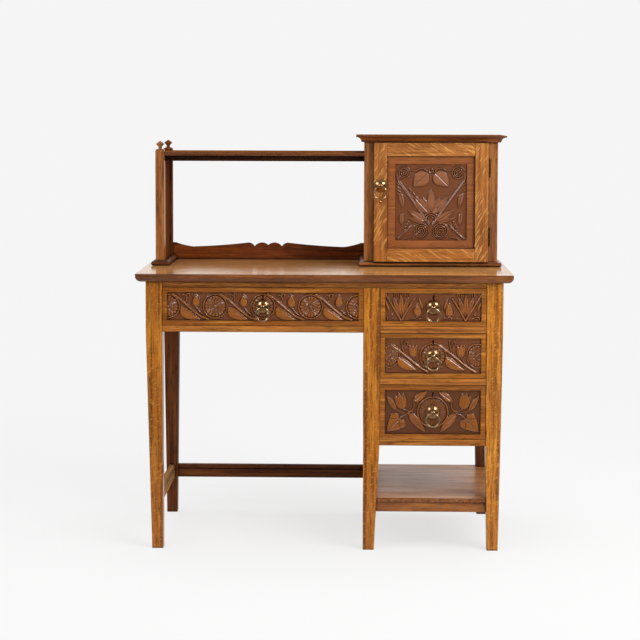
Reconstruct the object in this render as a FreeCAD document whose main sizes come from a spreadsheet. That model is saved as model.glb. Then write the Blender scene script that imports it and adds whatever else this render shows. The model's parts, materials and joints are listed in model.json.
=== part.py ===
"""An oak writing desk: six tapered legs, a long drawer over the kneehole, a pedestal of three
drawers, and on the desktop a gallery shelf beside a small cupboard with a hinged door.

X runs to the right, Y to the back and Z up. The origin is on the floor under the desktop's centre.
"""

import FreeCAD, Part
import Sketcher
import os
import re

# Driving sizes in millimetres
SIZES = {
    # Desktop, and how far it stands past the legs
    "top_width": "1008",
    "top_depth": "530",
    "desk_height": "750",
    "top_thickness": "22",
    "top_edge_round": "16",
    "front_overhang": "28",
    "side_overhang": "25",
    "back_overhang": "10",
    # Legs, and the pedestal measured over its outer leg faces
    "leg_width": "44",
    "foot_width": "30",
    "right_leg_outer_taper": "8",
    "pedestal_width": "373",
    # Front rails, the openings between them, and their joints in the legs
    "front_rail_height": "15",
    "rail_height": "18",
    "rail_setback": "1",
    "top_opening": "103",
    "middle_opening": "122",
    "bottom_opening": "147",
    "tenon_gap": "6",
    "tenon_cheek": "10",
    "tenon_thickness": "14",
    "tenon_shoulder": "3",
    "stub_tenon_width": "20",
    "stub_tenon_height": "8",
    # Side and back panels, held by tongues in the legs
    "panel_thickness": "16",
    "back_panel_thickness": "12",
    "panel_setback": "6",
    "panel_tongue": "8",
    # Low shelf and stretchers
    "shelf_height": "142",
    "shelf_thickness": "11",
    "shelf_setback": "9",
    "shelf_rail_height": "27",
    "stretcher_thickness": "16",
    "stretcher_housing_gap": "3",
    "stretcher_quirk": "2",
    # Drawers
    "drawer_gap": "1",
    "slide_gap": "0.4",
    "drawer_back_gap": "33",
    "drawer_front_thickness": "20",
    "drawer_lap": "8",
    "drawer_side_thickness": "10",
    "drawer_side_drop": "6",
    "drawer_back_thickness": "8",
    "drawer_back_drop": "4",
    "drawer_bottom_thickness": "6",
    "drawer_bottom_rise": "8",
    "drawer_groove": "4",
    "field_border": "13",
    "field_sink": "4.5",
    "runner_ledge": "15",
    "guide_height": "14",
    # Drawer locks
    "lock_width": "50",
    "lock_height": "40",
    "lock_depth": "12",
    "bolt_width": "22",
    "bolt_thickness": "6",
    "bolt_height": "18",
    "bolt_drop": "0.5",
    "bolt_gap": "0.15",
    "bolt_mortise_gap": "1",
    "bolt_mortise_depth": "6",
    "key_drop": "9",
    "key_radius": "2.3",
    "key_slot_width": "2.2",
    "key_slot_length": "8",
    # Ring pulls
    "boss_radius": "19",
    "dome_height": "9",
    "knob_radius": "8.5",
    "knob_standoff": "13",
    "pivot_drop": "2",
    "ring_radius": "17.8",
    "ring_wire": "2.2",
    "ring_clearance": "0.1",
    # Gallery end, shelf and backboard
    "gallery_setback": "245",
    "gallery_back_gap": "18",
    "post_width": "25",
    "post_height": "327",
    "post_round": "6",
    "neck_width": "9",
    "neck_height": "6",
    "finial_width": "22",
    "finial_waist": "8",
    "finial_height": "23",
    "end_panel_thickness": "10",
    "end_panel_tongue": "5",
    "gallery_shelf_rise": "318.5",
    "gallery_shelf_thickness": "10",
    "shelf_housing": "5",
    "gallery_rail_height": "15.5",
    "gallery_rail_thickness": "12",
    "gallery_rail_setback": "3",
    "backboard_thickness": "12",
    "backboard_height": "48.7",
    "scallop_notch_height": "41.6",
    "scallop_side_notch_height": "37.8",
    "scallop_low_height": "36.4",
    "scallop_bump": "21",
    "scallop_side_notch": "40",
    "scallop_shoulder": "57",
    "scallop_low": "60",
    "scallop_end": "8",
    "scallop_bow": "1.8",
    # Cupboard
    "cupboard_height": "366.4",
    "cupboard_board": "16",
    "cupboard_back_thickness": "12",
    "face_thickness": "18",
    "face_stile_width": "45",
    "face_rail_height": "46",
    "face_sill_height": "30",
    "face_tenon_length": "20",
    "face_tenon_thickness": "8",
    "face_tenon_shoulder": "6",
    "cornice_height": "18.4",
    "cornice_projection": "23",
    "cornice_lip": "4.4",
    "cornice_step": "1",
    "plinth_height": "13",
    "plinth_projection": "12",
    # Cupboard door
    "door_margin": "27",
    "door_gap": "1.5",
    "door_back_gap": "1",
    "door_thickness": "18",
    "door_stile_width": "37",
    "door_tenon_length": "25",
    "door_tenon_thickness": "8",
    "door_tenon_shoulder": "5",
    "door_panel_thickness": "9",
    "door_panel_recess": "7",
    "door_groove": "8",
    "door_field_margin": "23",
    "door_field_sink": "4",
    "door_pull_drop": "119.5",
    # Butt hinges
    "hinge_inset": "45",
    "hinge_height": "50",
    "hinge_clearance": "0.3",
    "leaf_width": "14",
    "leaf_thickness": "1.5",
    "knuckle_radius": "3",
    "knuckle_gap": "0.3",
    "pin_radius": "1.4",
    "pin_clearance": "0.05",
}

# Places worked out from the sizes
PLACES = {
    "left_x": "-top_width / 2 + side_overhang",
    "right_x": "top_width / 2 - side_overhang",
    "pedestal_x": "right_x - pedestal_width",
    "right_leg_x": "right_x - leg_width",
    "front_y": "-top_depth / 2 + front_overhang",
    "back_y": "top_depth / 2 - back_overhang",
    "front_leg_back": "front_y + leg_width",
    "back_leg_front": "back_y - leg_width",
    "rail_front": "front_y + rail_setback",
    "under_top": "desk_height - top_thickness",
    "opening_top": "under_top - front_rail_height",
    "upper_rail_top": "opening_top - top_opening",
    "upper_rail_low": "upper_rail_top - rail_height",
    "lower_rail_top": "upper_rail_low - middle_opening",
    "lower_rail_low": "lower_rail_top - rail_height",
    "base_rail_top": "lower_rail_low - bottom_opening",
    "base_rail_low": "base_rail_top - rail_height",
    "leg_taper": "leg_width - foot_width",
    "tenon_length": "(leg_width - tenon_gap) / 2",
    "tenon_front": "rail_front + tenon_cheek",
    "tenon_back": "tenon_front + tenon_thickness",
    "panel_inner": "panel_setback + panel_thickness",
    "back_panel_front": "back_y - panel_setback - back_panel_thickness",
    "drawer_depth": "back_panel_front - drawer_back_gap - rail_front",
    "shelf_low": "shelf_height - shelf_thickness",
    "stretcher_low": "shelf_low - shelf_rail_height",
    "stretcher_near": "(leg_width - stretcher_thickness) / 2",
    "stretcher_far": "(leg_width + stretcher_thickness) / 2",
    "housing": "stretcher_near - stretcher_housing_gap",
    "gallery_front": "front_y + gallery_setback",
    "gallery_back": "top_depth / 2 - gallery_back_gap",
    "gallery_depth": "gallery_back - gallery_front",
    "backboard_front": "gallery_back - backboard_thickness",
    "post_right": "left_x + post_width",
    "post_top": "desk_height + post_height",
    "end_panel_left": "left_x + (post_width - end_panel_thickness) / 2",
    "end_panel_right": "end_panel_left + end_panel_thickness",
    "gallery_shelf_top": "desk_height + gallery_shelf_rise",
    "gallery_shelf_low": "gallery_shelf_top - gallery_shelf_thickness",
    "face_back": "gallery_front + face_thickness",
    "cupboard_top": "desk_height + cupboard_height",
    "cupboard_left": "pedestal_x + cupboard_board",
    "cupboard_right": "right_x - cupboard_board",
    "cupboard_inner_back": "gallery_back - cupboard_back_thickness",
    "face_left": "pedestal_x + face_stile_width",
    "face_right": "right_x - face_stile_width",
    "door_left": "pedestal_x + door_margin",
    "door_right": "right_x - door_margin",
    "door_low": "desk_height + plinth_height + door_gap",
    "door_top": "cupboard_top - cornice_height - door_gap",
    "door_back": "gallery_front - door_back_gap",
    "door_front": "door_back - door_thickness",
    "door_inner_left": "door_left + door_stile_width",
    "door_inner_right": "door_right - door_stile_width",
    "door_inner_low": "door_low + door_stile_width",
    "door_inner_top": "door_top - door_stile_width",
    "door_panel_front": "door_front + door_panel_recess",
    "hinge_x": "door_right + knuckle_radius + hinge_clearance",
    "hinge_y": "gallery_front - door_back_gap / 2",
    "dome_sphere": "(boss_radius ^ 2 + dome_height ^ 2) / (2 * dome_height)",
    "ring_reach": "knob_radius + pivot_drop",
    "ring_sagitta": "ring_radius - sqrt(ring_radius ^ 2 - ring_reach ^ 2)",
}
FUNCTIONS = ("asin", "sqrt")
KNUCKLES = 5

doc = FreeCAD.newDocument("writing_desk")
sheet = doc.addObject("Spreadsheet::Sheet", "Sizes")
for row, (word, size) in enumerate(SIZES.items(), 1):
    sheet.set(f"A{row}", word)
    sheet.set(f"B{row}", size)
    sheet.setAlias(f"B{row}", word)
doc.recompute()

nodes = []


def cells(formula):
    """Spell a formula of named sizes and places as an expression on the sheet's cells."""

    def spell(match):
        word = match.group()
        if word in FUNCTIONS:
            return word
        if word in PLACES:
            return f"({cells(PLACES[word])})"
        if word in SIZES:
            return "Sizes." + word
        raise KeyError(word)

    return re.sub(r"[a-z][a-z_]+", spell, formula)


def bind(piece, **formulas):
    """Tie a piece's properties to formulas."""
    for name, formula in formulas.items():
        piece.setExpression(name, cells(formula))


def place(piece, x, y, z, turn=0, about=(0, 0, 1)):
    """Stand a piece at formulas for x, y and z, turned by degrees about an axis."""
    rotation = FreeCAD.Rotation(FreeCAD.Vector(*about), turn)
    piece.Placement = FreeCAD.Placement(FreeCAD.Vector(), rotation)
    for axis, formula in (("x", x), ("y", y), ("z", z)):
        piece.setExpression("Placement.Base." + axis, cells(formula))


def board(name, x, y, z):
    """A square-edged board, each span given as a pair of formulas from and to."""
    piece = doc.addObject("Part::Box", name)
    bind(
        piece,
        Length=f"({x[1]}) - ({x[0]})",
        Width=f"({y[1]}) - ({y[0]})",
        Height=f"({z[1]}) - ({z[0]})",
    )
    place(piece, x[0], y[0], z[0])
    return piece


def rod(name, radius, length, x, y, z, turn=0, about=(0, 0, 1)):
    """A round bar, standing on its lower end unless it is turned."""
    piece = doc.addObject("Part::Cylinder", name)
    bind(piece, Radius=radius, Height=length)
    place(piece, x, y, z, turn, about)
    return piece


def joined(name, *pieces):
    """Pieces of one wood or metal, made as one solid."""
    fuse = doc.addObject("Part::MultiFuse", name)
    fuse.Shapes = list(pieces)
    return fuse


def grouped(name, *pieces):
    """Separate solids that are kept together."""
    group = doc.addObject("Part::Compound", name)
    group.Links = list(pieces)
    return group


def cut(name, base, *tools):
    """A base less the tools, or less the pieces that are let into it."""
    piece = doc.addObject("Part::Cut", name)
    piece.Base = base
    piece.Tool = tools[0] if len(tools) == 1 else grouped(name + "_tools", *tools)
    return piece


def shared(name, first, second):
    """What two shapes have in common."""
    piece = doc.addObject("Part::Common", name)
    piece.Base = first
    piece.Tool = second
    return piece


def node(piece):
    """Count a finished piece as a part of the desk."""
    nodes.append(piece)
    return piece


def outlined(name, plane, corners, span):
    """A body padded over a span from a straight-sided outline on an origin plane.

    XY corners are (x, y), XZ corners are (x, z) and YZ corners are (y, z), all as formulas.
    """
    body = doc.addObject("PartDesign::Body", name)
    sketch = body.newObject("Sketcher::SketchObject", name + "_outline")
    origin = [feature for feature in body.Origin.OriginFeatures if feature.Role == plane + "_Plane"]
    sketch.AttachmentSupport = [(origin[0], "")]
    sketch.MapMode = "FlatFace"
    count = len(corners)
    seeds = [FreeCAD.Vector(index, index * index, 0) for index in range(count)]
    for index in range(count):
        sketch.addGeometry(Part.LineSegment(seeds[index], seeds[(index + 1) % count]))
    for index in range(count):
        sketch.addConstraint(Sketcher.Constraint("Coincident", index, 2, (index + 1) % count, 1))
    for index, corner in enumerate(corners):
        for kind, formula, seed in zip(("DistanceX", "DistanceY"), corner, seeds[index]):
            number = sketch.addConstraint(Sketcher.Constraint(kind, -1, 1, index, 1, seed))
            sketch.setExpression(f"Constraints[{number}]", cells(formula))
    offset = f"-({span[1]})" if plane == "XZ" else span[0]
    sketch.setExpression("AttachmentOffset.Base.z", cells(offset))
    pad = body.newObject("PartDesign::Pad", name + "_pad")
    pad.Profile = sketch
    pad.setExpression("Length", cells(f"({span[1]}) - ({span[0]})"))
    doc.recompute()
    return body


def eased(body, radius, chosen):
    """Round the edges of a padded body that the test chooses by their centre."""
    pad = body.Tip
    names = [
        f"Edge{number}"
        for number, edge in enumerate(pad.Shape.Edges, 1)
        if chosen(edge.CenterOfMass, pad.Shape.BoundBox)
    ]
    fillet = body.newObject("PartDesign::Fillet", body.Name + "_round")
    fillet.Base = (pad, names)
    fillet.setExpression("Radius", cells(radius))
    doc.recompute()
    return body


# Front rails: a body between two legs with a tenon at each end
def rail(name, left, right, low, top):
    body = board(name + "_body", (left, right), ("rail_front", "front_leg_back"), (low, top))
    tenons = board(
        name + "_tenons",
        (f"{left} - tenon_length", f"{right} + tenon_length"),
        ("tenon_front", "tenon_back"),
        (f"{low} + tenon_shoulder", f"{top} - tenon_shoulder"),
    )
    return joined(name, body, tenons)


kneehole_left = "left_x + leg_width"
kneehole_right = "pedestal_x"
pedestal_left = "pedestal_x + leg_width"
pedestal_right = "right_leg_x"

kneehole_span = (kneehole_left, kneehole_right)
pedestal_span = (pedestal_left, pedestal_right)
top_rail_blank = rail("front_top_rail_blank", kneehole_left, pedestal_right, "opening_top", "under_top")
kneehole_rail = node(rail("kneehole_rail", *kneehole_span, "upper_rail_low", "upper_rail_top"))
upper_rail_blank = rail("upper_rail_blank", *pedestal_span, "upper_rail_low", "upper_rail_top")
lower_rail_blank = rail("lower_rail_blank", *pedestal_span, "lower_rail_low", "lower_rail_top")
base_rail = rail("base_rail", *pedestal_span, "base_rail_low", "base_rail_top")


# Drawer openings: left, right, low and top of each
DRAWERS = {
    "kneehole_drawer": (*kneehole_span, "upper_rail_top", "opening_top"),
    "top_drawer": (*pedestal_span, "upper_rail_top", "opening_top"),
    "middle_drawer": (*pedestal_span, "lower_rail_top", "upper_rail_low"),
    "bottom_drawer": (*pedestal_span, "base_rail_top", "lower_rail_low"),
}


def bolt_mortise(name):
    """The slot in the rail over a drawer that its lock bolt rises into."""
    left, right, low, top = DRAWERS[name]
    middle = f"(({left}) + ({right})) / 2"
    bolt_middle = "rail_front + drawer_front_thickness - lock_depth / 2"
    reach = "bolt_thickness / 2 + bolt_mortise_gap"
    width = "(bolt_width / 2 + bolt_mortise_gap)"
    return board(
        name + "_bolt_mortise",
        (f"{middle} - {width}", f"{middle} + {width}"),
        (f"{bolt_middle} - ({reach})", f"{bolt_middle} + ({reach})"),
        (top, f"{top} + bolt_mortise_depth"),
    )


# The middle leg ends under the top rail in a stub tenon
stub_tenon = board(
    "stub_tenon",
    ("pedestal_x + (leg_width - stub_tenon_width) / 2", "pedestal_x + (leg_width + stub_tenon_width) / 2"),
    ("tenon_front", "tenon_back"),
    ("opening_top", "opening_top + stub_tenon_height"),
)
upper_rail = cut("upper_rail", upper_rail_blank, bolt_mortise("middle_drawer"))
lower_rail = cut("lower_rail", lower_rail_blank, bolt_mortise("bottom_drawer"))
pedestal_rails = node(grouped("pedestal_rails", upper_rail, lower_rail, base_rail))

# Side and back panels, their edges held in the legs
between_legs = ("front_leg_back - panel_tongue", "back_leg_front + panel_tongue")
back_span = ("back_panel_front", "back_y - panel_setback")
left_side_panel = node(
    board(
        "left_side_panel",
        ("left_x + panel_setback", "left_x + panel_inner"),
        between_legs,
        ("upper_rail_low", "under_top"),
    )
)
pedestal_inner_side = board(
    "pedestal_inner_side",
    ("pedestal_x + panel_setback", "pedestal_x + panel_inner"),
    between_legs,
    ("base_rail_low", "under_top"),
)
pedestal_outer_side = board(
    "pedestal_outer_side",
    ("right_x - panel_inner", "right_x - panel_setback"),
    between_legs,
    ("base_rail_low", "under_top"),
)
pedestal_sides = node(grouped("pedestal_sides", pedestal_inner_side, pedestal_outer_side))
node(
    cut(
        "front_top_rail",
        top_rail_blank,
        stub_tenon,
        pedestal_inner_side,
        bolt_mortise("kneehole_drawer"),
        bolt_mortise("top_drawer"),
    )
)
kneehole_back = board(
    "kneehole_back",
    ("left_x + leg_width - panel_tongue", "pedestal_x + panel_tongue"),
    back_span,
    ("upper_rail_low", "under_top"),
)
pedestal_back = board(
    "pedestal_back",
    ("pedestal_x + leg_width - panel_tongue", "right_leg_x + panel_tongue"),
    back_span,
    ("base_rail_low", "under_top"),
)
back_panels = node(grouped("back_panels", kneehole_back, pedestal_back))

# Low stretchers of the kneehole, each with a quirk along its outer face
low_span = ("stretcher_low", "shelf_height")
quirk_span = ("shelf_low - stretcher_quirk", "shelf_low")
along_y = ("front_leg_back - housing", "back_leg_front + housing")
left_stretcher = cut(
    "left_stretcher",
    board("left_stretcher_blank", ("left_x + stretcher_near", "left_x + stretcher_far"), along_y, low_span),
    board(
        "left_stretcher_quirk",
        ("left_x + stretcher_far - stretcher_quirk", "left_x + stretcher_far"),
        along_y,
        quirk_span,
    ),
)
along_kneehole = ("left_x + leg_width - housing", "pedestal_x + housing")
back_rail_y = ("back_y - stretcher_far", "back_y - stretcher_near")
back_stretcher = cut(
    "back_stretcher",
    board("back_stretcher_blank", along_kneehole, back_rail_y, low_span),
    board(
        "back_stretcher_quirk",
        along_kneehole,
        ("back_y - stretcher_far", "back_y - stretcher_far + stretcher_quirk"),
        quirk_span,
    ),
)
stretchers = node(grouped("stretchers", left_stretcher, back_stretcher))

# Rails that carry the pedestal's low shelf
shelf_rail_span = ("stretcher_low", "shelf_low")
along_pedestal = ("pedestal_x + leg_width - housing", "right_leg_x + housing")
shelf_rails = node(
    grouped(
        "shelf_rails",
        board(
            "shelf_front_rail",
            along_pedestal,
            ("front_y + stretcher_near", "front_y + stretcher_far"),
            shelf_rail_span,
        ),
        board("shelf_back_rail", along_pedestal, back_rail_y, shelf_rail_span),
        board(
            "shelf_left_rail",
            ("pedestal_x + stretcher_near", "pedestal_x + stretcher_far"),
            along_y,
            shelf_rail_span,
        ),
        board(
            "shelf_right_rail",
            ("right_x - stretcher_far", "right_x - stretcher_near"),
            along_y,
            shelf_rail_span,
        ),
    )
)


# Legs: square above, tapered to the foot below the rails
def leg_blank(name, left, front, top, left_taper, right_taper, depth_taper_from):
    """Each side's taper is a pair of its amount and where it starts, or None where it runs straight."""
    right = f"{left} + leg_width"
    back = f"{front} + leg_width"
    low_left = f"{left} + {left_taper[0]}" if left_taper else left
    low_right = f"{right} - ({right_taper[0]})" if right_taper else right
    face = [(low_left, "0"), (low_right, "0")]
    if right_taper:
        face.append((right, right_taper[1]))
    face += [(right, top), (left, top)]
    if left_taper:
        face.append((left, left_taper[1]))
    side = [
        (f"{front} + leg_taper / 2", "0"),
        (f"{back} - leg_taper / 2", "0"),
        (back, depth_taper_from),
        (back, top),
        (front, top),
        (front, depth_taper_from),
    ]
    return shared(
        name + "_blank",
        outlined(name + "_face", "XZ", face, (front, back)),
        outlined(name + "_side", "YZ", side, (left, right)),
    )


half_taper_from_upper = ("leg_taper / 2", "upper_rail_low")
half_taper_from_base = ("leg_taper / 2", "base_rail_low")
blanks = {
    "leg_front_left": leg_blank(
        "leg_front_left",
        "left_x",
        "front_y",
        "under_top",
        ("leg_taper", "upper_rail_low"),
        None,
        "upper_rail_low",
    ),
    "leg_front_middle": leg_blank(
        "leg_front_middle",
        "pedestal_x",
        "front_y",
        "opening_top",
        None,
        ("leg_taper", "base_rail_low"),
        "base_rail_low",
    ),
    "leg_front_right": leg_blank(
        "leg_front_right",
        "right_leg_x",
        "front_y",
        "under_top",
        ("(leg_taper - right_leg_outer_taper)", "base_rail_low"),
        ("right_leg_outer_taper", "upper_rail_low"),
        "base_rail_low",
    ),
    "leg_back_left": leg_blank(
        "leg_back_left",
        "left_x",
        "back_leg_front",
        "under_top",
        half_taper_from_upper,
        half_taper_from_upper,
        "upper_rail_low",
    ),
    "leg_back_middle": leg_blank(
        "leg_back_middle",
        "pedestal_x",
        "back_leg_front",
        "under_top",
        half_taper_from_base,
        half_taper_from_base,
        "base_rail_low",
    ),
    "leg_back_right": leg_blank(
        "leg_back_right",
        "right_leg_x",
        "back_leg_front",
        "under_top",
        half_taper_from_base,
        half_taper_from_upper,
        "base_rail_low",
    ),
}
mates = {
    "leg_front_left": (top_rail_blank, kneehole_rail, left_side_panel, left_stretcher),
    "leg_front_middle": (kneehole_rail, pedestal_rails, pedestal_inner_side, shelf_rails),
    "leg_front_right": (top_rail_blank, pedestal_rails, pedestal_outer_side, shelf_rails),
    "leg_back_left": (left_side_panel, kneehole_back, stretchers),
    "leg_back_middle": (pedestal_inner_side, kneehole_back, pedestal_back, back_stretcher, shelf_rails),
    "leg_back_right": (pedestal_outer_side, pedestal_back, shelf_rails),
}
for name, blank in blanks.items():
    if name == "leg_front_middle":
        mortised = cut(name + "_mortised", blank, *mates[name])
        node(joined(name, mortised, stub_tenon))
    else:
        node(cut(name, blank, *mates[name]))

# Low shelf of the pedestal, notched round the four legs
shelf_blank = board(
    "pedestal_shelf_blank",
    ("pedestal_x + shelf_setback", "right_x - shelf_setback"),
    ("front_y + shelf_setback", "back_y - shelf_setback"),
    ("shelf_low", "shelf_height"),
)
pedestal_legs = ("leg_front_middle", "leg_front_right", "leg_back_middle", "leg_back_right")
node(cut("pedestal_shelf", shelf_blank, *(blanks[name] for name in pedestal_legs)))

# Drawer runners with their guides, and kickers over the upper drawers
left_bearer = ("left_x + panel_inner", "left_x + leg_width")
kneehole_right_bearer = ("pedestal_x + panel_setback", "pedestal_x")
pedestal_left_bearer = ("pedestal_x + panel_inner", "pedestal_x + leg_width")
pedestal_right_bearer = ("right_x - panel_inner", "right_leg_x")
BEARERS = {
    "kneehole_drawer": (left_bearer, kneehole_right_bearer),
    "top_drawer": (pedestal_left_bearer, pedestal_right_bearer),
    "middle_drawer": (pedestal_left_bearer, pedestal_right_bearer),
    "bottom_drawer": (pedestal_left_bearer, pedestal_right_bearer),
}
behind_rails = ("front_leg_back", "back_leg_front")
bearers = []
for name, (left_side, right_side) in BEARERS.items():
    low, top = DRAWERS[name][2:]
    ledges = {
        "left": (left_side[0], f"{left_side[1]} + runner_ledge"),
        "right": (f"{right_side[1]} - runner_ledge", right_side[0]),
    }
    guides = {"left": left_side, "right": (right_side[1], right_side[0])}
    for side in ("left", "right"):
        label = f"{name}_{side}"
        runner = board(label + "_runner", ledges[side], behind_rails, (f"{low} - rail_height", low))
        guide = board(label + "_guide", guides[side], behind_rails, (low, f"{low} + guide_height"))
        bearers += [runner, guide]
        if top == "opening_top":
            bearers.append(board(label + "_kicker", ledges[side], behind_rails, (top, "under_top")))
node(grouped("drawer_runners", *bearers))

# Desktop, its lower edge rounded along the front and both ends
desktop = outlined(
    "desktop",
    "XY",
    [
        ("-top_width / 2", "-top_depth / 2"),
        ("top_width / 2", "-top_depth / 2"),
        ("top_width / 2", "top_depth / 2"),
        ("-top_width / 2", "top_depth / 2"),
    ],
    ("under_top", "desk_height"),
)
node(
    eased(
        desktop,
        "top_edge_round",
        lambda middle, box: abs(middle.z - box.ZMin) < 0.01 and abs(middle.y - box.YMax) > 0.01,
    )
)


# Gallery posts: square, round-shouldered, each with a carved finial on a short neck
def post(name, front):
    back = f"{front} + post_width"
    corners = [("left_x", front), ("post_right", front), ("post_right", back), ("left_x", back)]
    shaft = eased(
        outlined(name + "_shaft", "XY", corners, ("desk_height", "post_top")),
        "post_round",
        lambda middle, box: abs(middle.z - box.ZMax) < 0.01,
    )

    def finial(middle):
        return [
            (f"{middle} - neck_width / 2", "post_top"),
            (f"{middle} + neck_width / 2", "post_top"),
            (f"{middle} + neck_width / 2", "post_top + neck_height"),
            (f"{middle} + finial_width / 2", "post_top + neck_height + finial_waist"),
            (middle, "post_top + finial_height"),
            (f"{middle} - finial_width / 2", "post_top + neck_height + finial_waist"),
            (f"{middle} - neck_width / 2", "post_top + neck_height"),
        ]

    post_x = ("left_x", "post_right")
    finial_face = outlined(name + "_finial_face", "XZ", finial("left_x + post_width / 2"), (front, back))
    finial_side = outlined(name + "_finial_side", "YZ", finial(f"{front} + post_width / 2"), post_x)
    return joined(name, shaft, shared(name + "_finial", finial_face, finial_side))


end_panel_blank = board(
    "gallery_end_panel_blank",
    ("end_panel_left", "end_panel_right"),
    (
        "gallery_front + post_width - end_panel_tongue",
        "gallery_back - post_width + end_panel_tongue",
    ),
    ("desk_height", "gallery_shelf_top"),
)
node(
    grouped(
        "gallery_posts",
        cut("gallery_front_post", post("front_post_blank", "gallery_front"), end_panel_blank),
        cut("gallery_back_post", post("back_post_blank", "gallery_back - post_width"), end_panel_blank),
    )
)

# Gallery shelf, housed in the end panel and in the cupboard's side
gallery_shelf_span = ("gallery_shelf_low", "gallery_shelf_top")
gallery_shelf_plank = board(
    "gallery_shelf_plank",
    ("post_right", "pedestal_x"),
    ("gallery_front", "gallery_back"),
    gallery_shelf_span,
)
gallery_shelf = node(
    joined(
        "gallery_shelf",
        gallery_shelf_plank,
        board(
            "gallery_shelf_left_tongue",
            ("end_panel_right - shelf_housing", "post_right"),
            ("gallery_front + post_width", "gallery_back - post_width"),
            gallery_shelf_span,
        ),
        board(
            "gallery_shelf_right_tongue",
            ("pedestal_x", "pedestal_x + shelf_housing"),
            ("face_back", "gallery_back"),
            gallery_shelf_span,
        ),
    )
)
node(cut("gallery_end_panel", end_panel_blank, gallery_shelf))
rail_behind_post = "gallery_front + post_width + gallery_rail_setback"
node(
    board(
        "gallery_shelf_rail",
        ("end_panel_right", "pedestal_x"),
        (rail_behind_post, f"{rail_behind_post} + gallery_rail_thickness"),
        ("gallery_shelf_low - gallery_rail_height", "gallery_shelf_low"),
    )
)


# Gallery backboard: a low board with a scalloped top, alike on both sides of its centre
def scalloped_edge(half):
    """The top edge's arcs and cusps from the centre to one end, with x counted from the centre."""
    crest = sheet.get("backboard_height")
    low = sheet.get("scallop_low_height")
    notch = FreeCAD.Vector(0, 0, sheet.get("scallop_notch_height"))
    bump = FreeCAD.Vector(sheet.get("scallop_bump"), 0, crest)
    side_notch = FreeCAD.Vector(sheet.get("scallop_side_notch"), 0, sheet.get("scallop_side_notch_height"))
    shoulder = FreeCAD.Vector(sheet.get("scallop_shoulder"), 0, crest)
    lowest = FreeCAD.Vector(half - sheet.get("scallop_low"), 0, low)
    end = FreeCAD.Vector(half - sheet.get("scallop_end"), 0, crest)
    bow = sheet.get("scallop_bow")
    swell = (side_notch + shoulder) / 2 + FreeCAD.Vector(-bow, 0, bow)
    slope = (shoulder + lowest) / 2 - FreeCAD.Vector(0, 0, bow)
    turn_up = (lowest + end) / 2 - FreeCAD.Vector(0, 0, bow)
    edges = [
        Part.Arc(notch, bump, side_notch).toShape(),
        Part.Arc(side_notch, swell, shoulder).toShape(),
        Part.Arc(shoulder, slope, lowest).toShape(),
        Part.Arc(lowest, turn_up, end).toShape(),
    ]
    corner = FreeCAD.Vector(half, 0, crest)
    edges.append(Part.makeLine(end, corner))
    edges.append(Part.makeLine(corner, FreeCAD.Vector(half, 0, 0)))
    return edges


doc.recompute()
half_length = gallery_shelf_plank.Length.Value / 2
right_half = scalloped_edge(half_length)
left_half = [edge.mirror(FreeCAD.Vector(), FreeCAD.Vector(1, 0, 0)) for edge in right_half]
foot_edge = Part.makeLine(FreeCAD.Vector(-half_length, 0, 0), FreeCAD.Vector(half_length, 0, 0))
backboard_outline = Part.Wire(Part.sortEdges(right_half + left_half + [foot_edge])[0])
backboard = doc.addObject("Part::Feature", "gallery_backboard")
backboard.Shape = Part.Face(backboard_outline).extrude(
    FreeCAD.Vector(0, sheet.get("backboard_thickness"), 0)
)
place(backboard, "(post_right + pedestal_x) / 2", "backboard_front", "desk_height")
node(backboard)

# Cupboard carcass
cupboard_span = ("desk_height", "cupboard_top")
behind_face = ("face_back", "gallery_back")
left_side_blank = board("cupboard_left_blank", ("pedestal_x", "cupboard_left"), behind_face, cupboard_span)
right_side = board("cupboard_right_side", ("cupboard_right", "right_x"), behind_face, cupboard_span)
node(grouped("cupboard_sides", cut("cupboard_left_side", left_side_blank, gallery_shelf), right_side))
inside_x = ("cupboard_left", "cupboard_right")
inside_y = ("face_back", "cupboard_inner_back")
node(board("cupboard_top", inside_x, inside_y, ("cupboard_top - cupboard_board", "cupboard_top")))
node(board("cupboard_floor", inside_x, inside_y, ("desk_height", "desk_height + cupboard_board")))
node(board("cupboard_back", inside_x, ("cupboard_inner_back", "gallery_back"), cupboard_span))

# Cupboard door: tenoned frame round a panel with a sunk field for its carving
door_y = ("door_front", "door_back")
door_panel_blank = board(
    "door_panel_blank",
    ("door_inner_left - door_groove", "door_inner_right + door_groove"),
    ("door_panel_front", "door_panel_front + door_panel_thickness"),
    ("door_inner_low - door_groove", "door_inner_top + door_groove"),
)
door_field = board(
    "door_field",
    ("door_inner_left + door_field_margin", "door_inner_right - door_field_margin"),
    ("door_panel_front", "door_panel_front + door_field_sink"),
    ("door_inner_low + door_field_margin", "door_inner_top - door_field_margin"),
)
node(cut("door_panel", door_panel_blank, door_field))


def door_rail(name, span, tenon_span):
    tenon_front = "door_front + (door_thickness - door_tenon_thickness) / 2"
    body = board(name + "_body", ("door_inner_left", "door_inner_right"), door_y, span)
    tenons = board(
        name + "_tenons",
        ("door_inner_left - door_tenon_length", "door_inner_right + door_tenon_length"),
        (tenon_front, f"{tenon_front} + door_tenon_thickness"),
        tenon_span,
    )
    return cut(name, joined(name + "_blank", body, tenons), door_panel_blank)


door_low_rail = door_rail(
    "door_low_rail",
    ("door_low", "door_inner_low"),
    ("door_low + door_tenon_shoulder", "door_inner_low - door_groove - door_tenon_shoulder"),
)
door_top_rail = door_rail(
    "door_top_rail",
    ("door_inner_top", "door_top"),
    ("door_inner_top + door_groove + door_tenon_shoulder", "door_top - door_tenon_shoulder"),
)

# Butt hinges: a leaf let into the cupboard's face and one into the back of the door, on one pin
HINGES = {"low": "door_low + hinge_inset", "high": "door_top - hinge_inset - hinge_height"}


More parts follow.
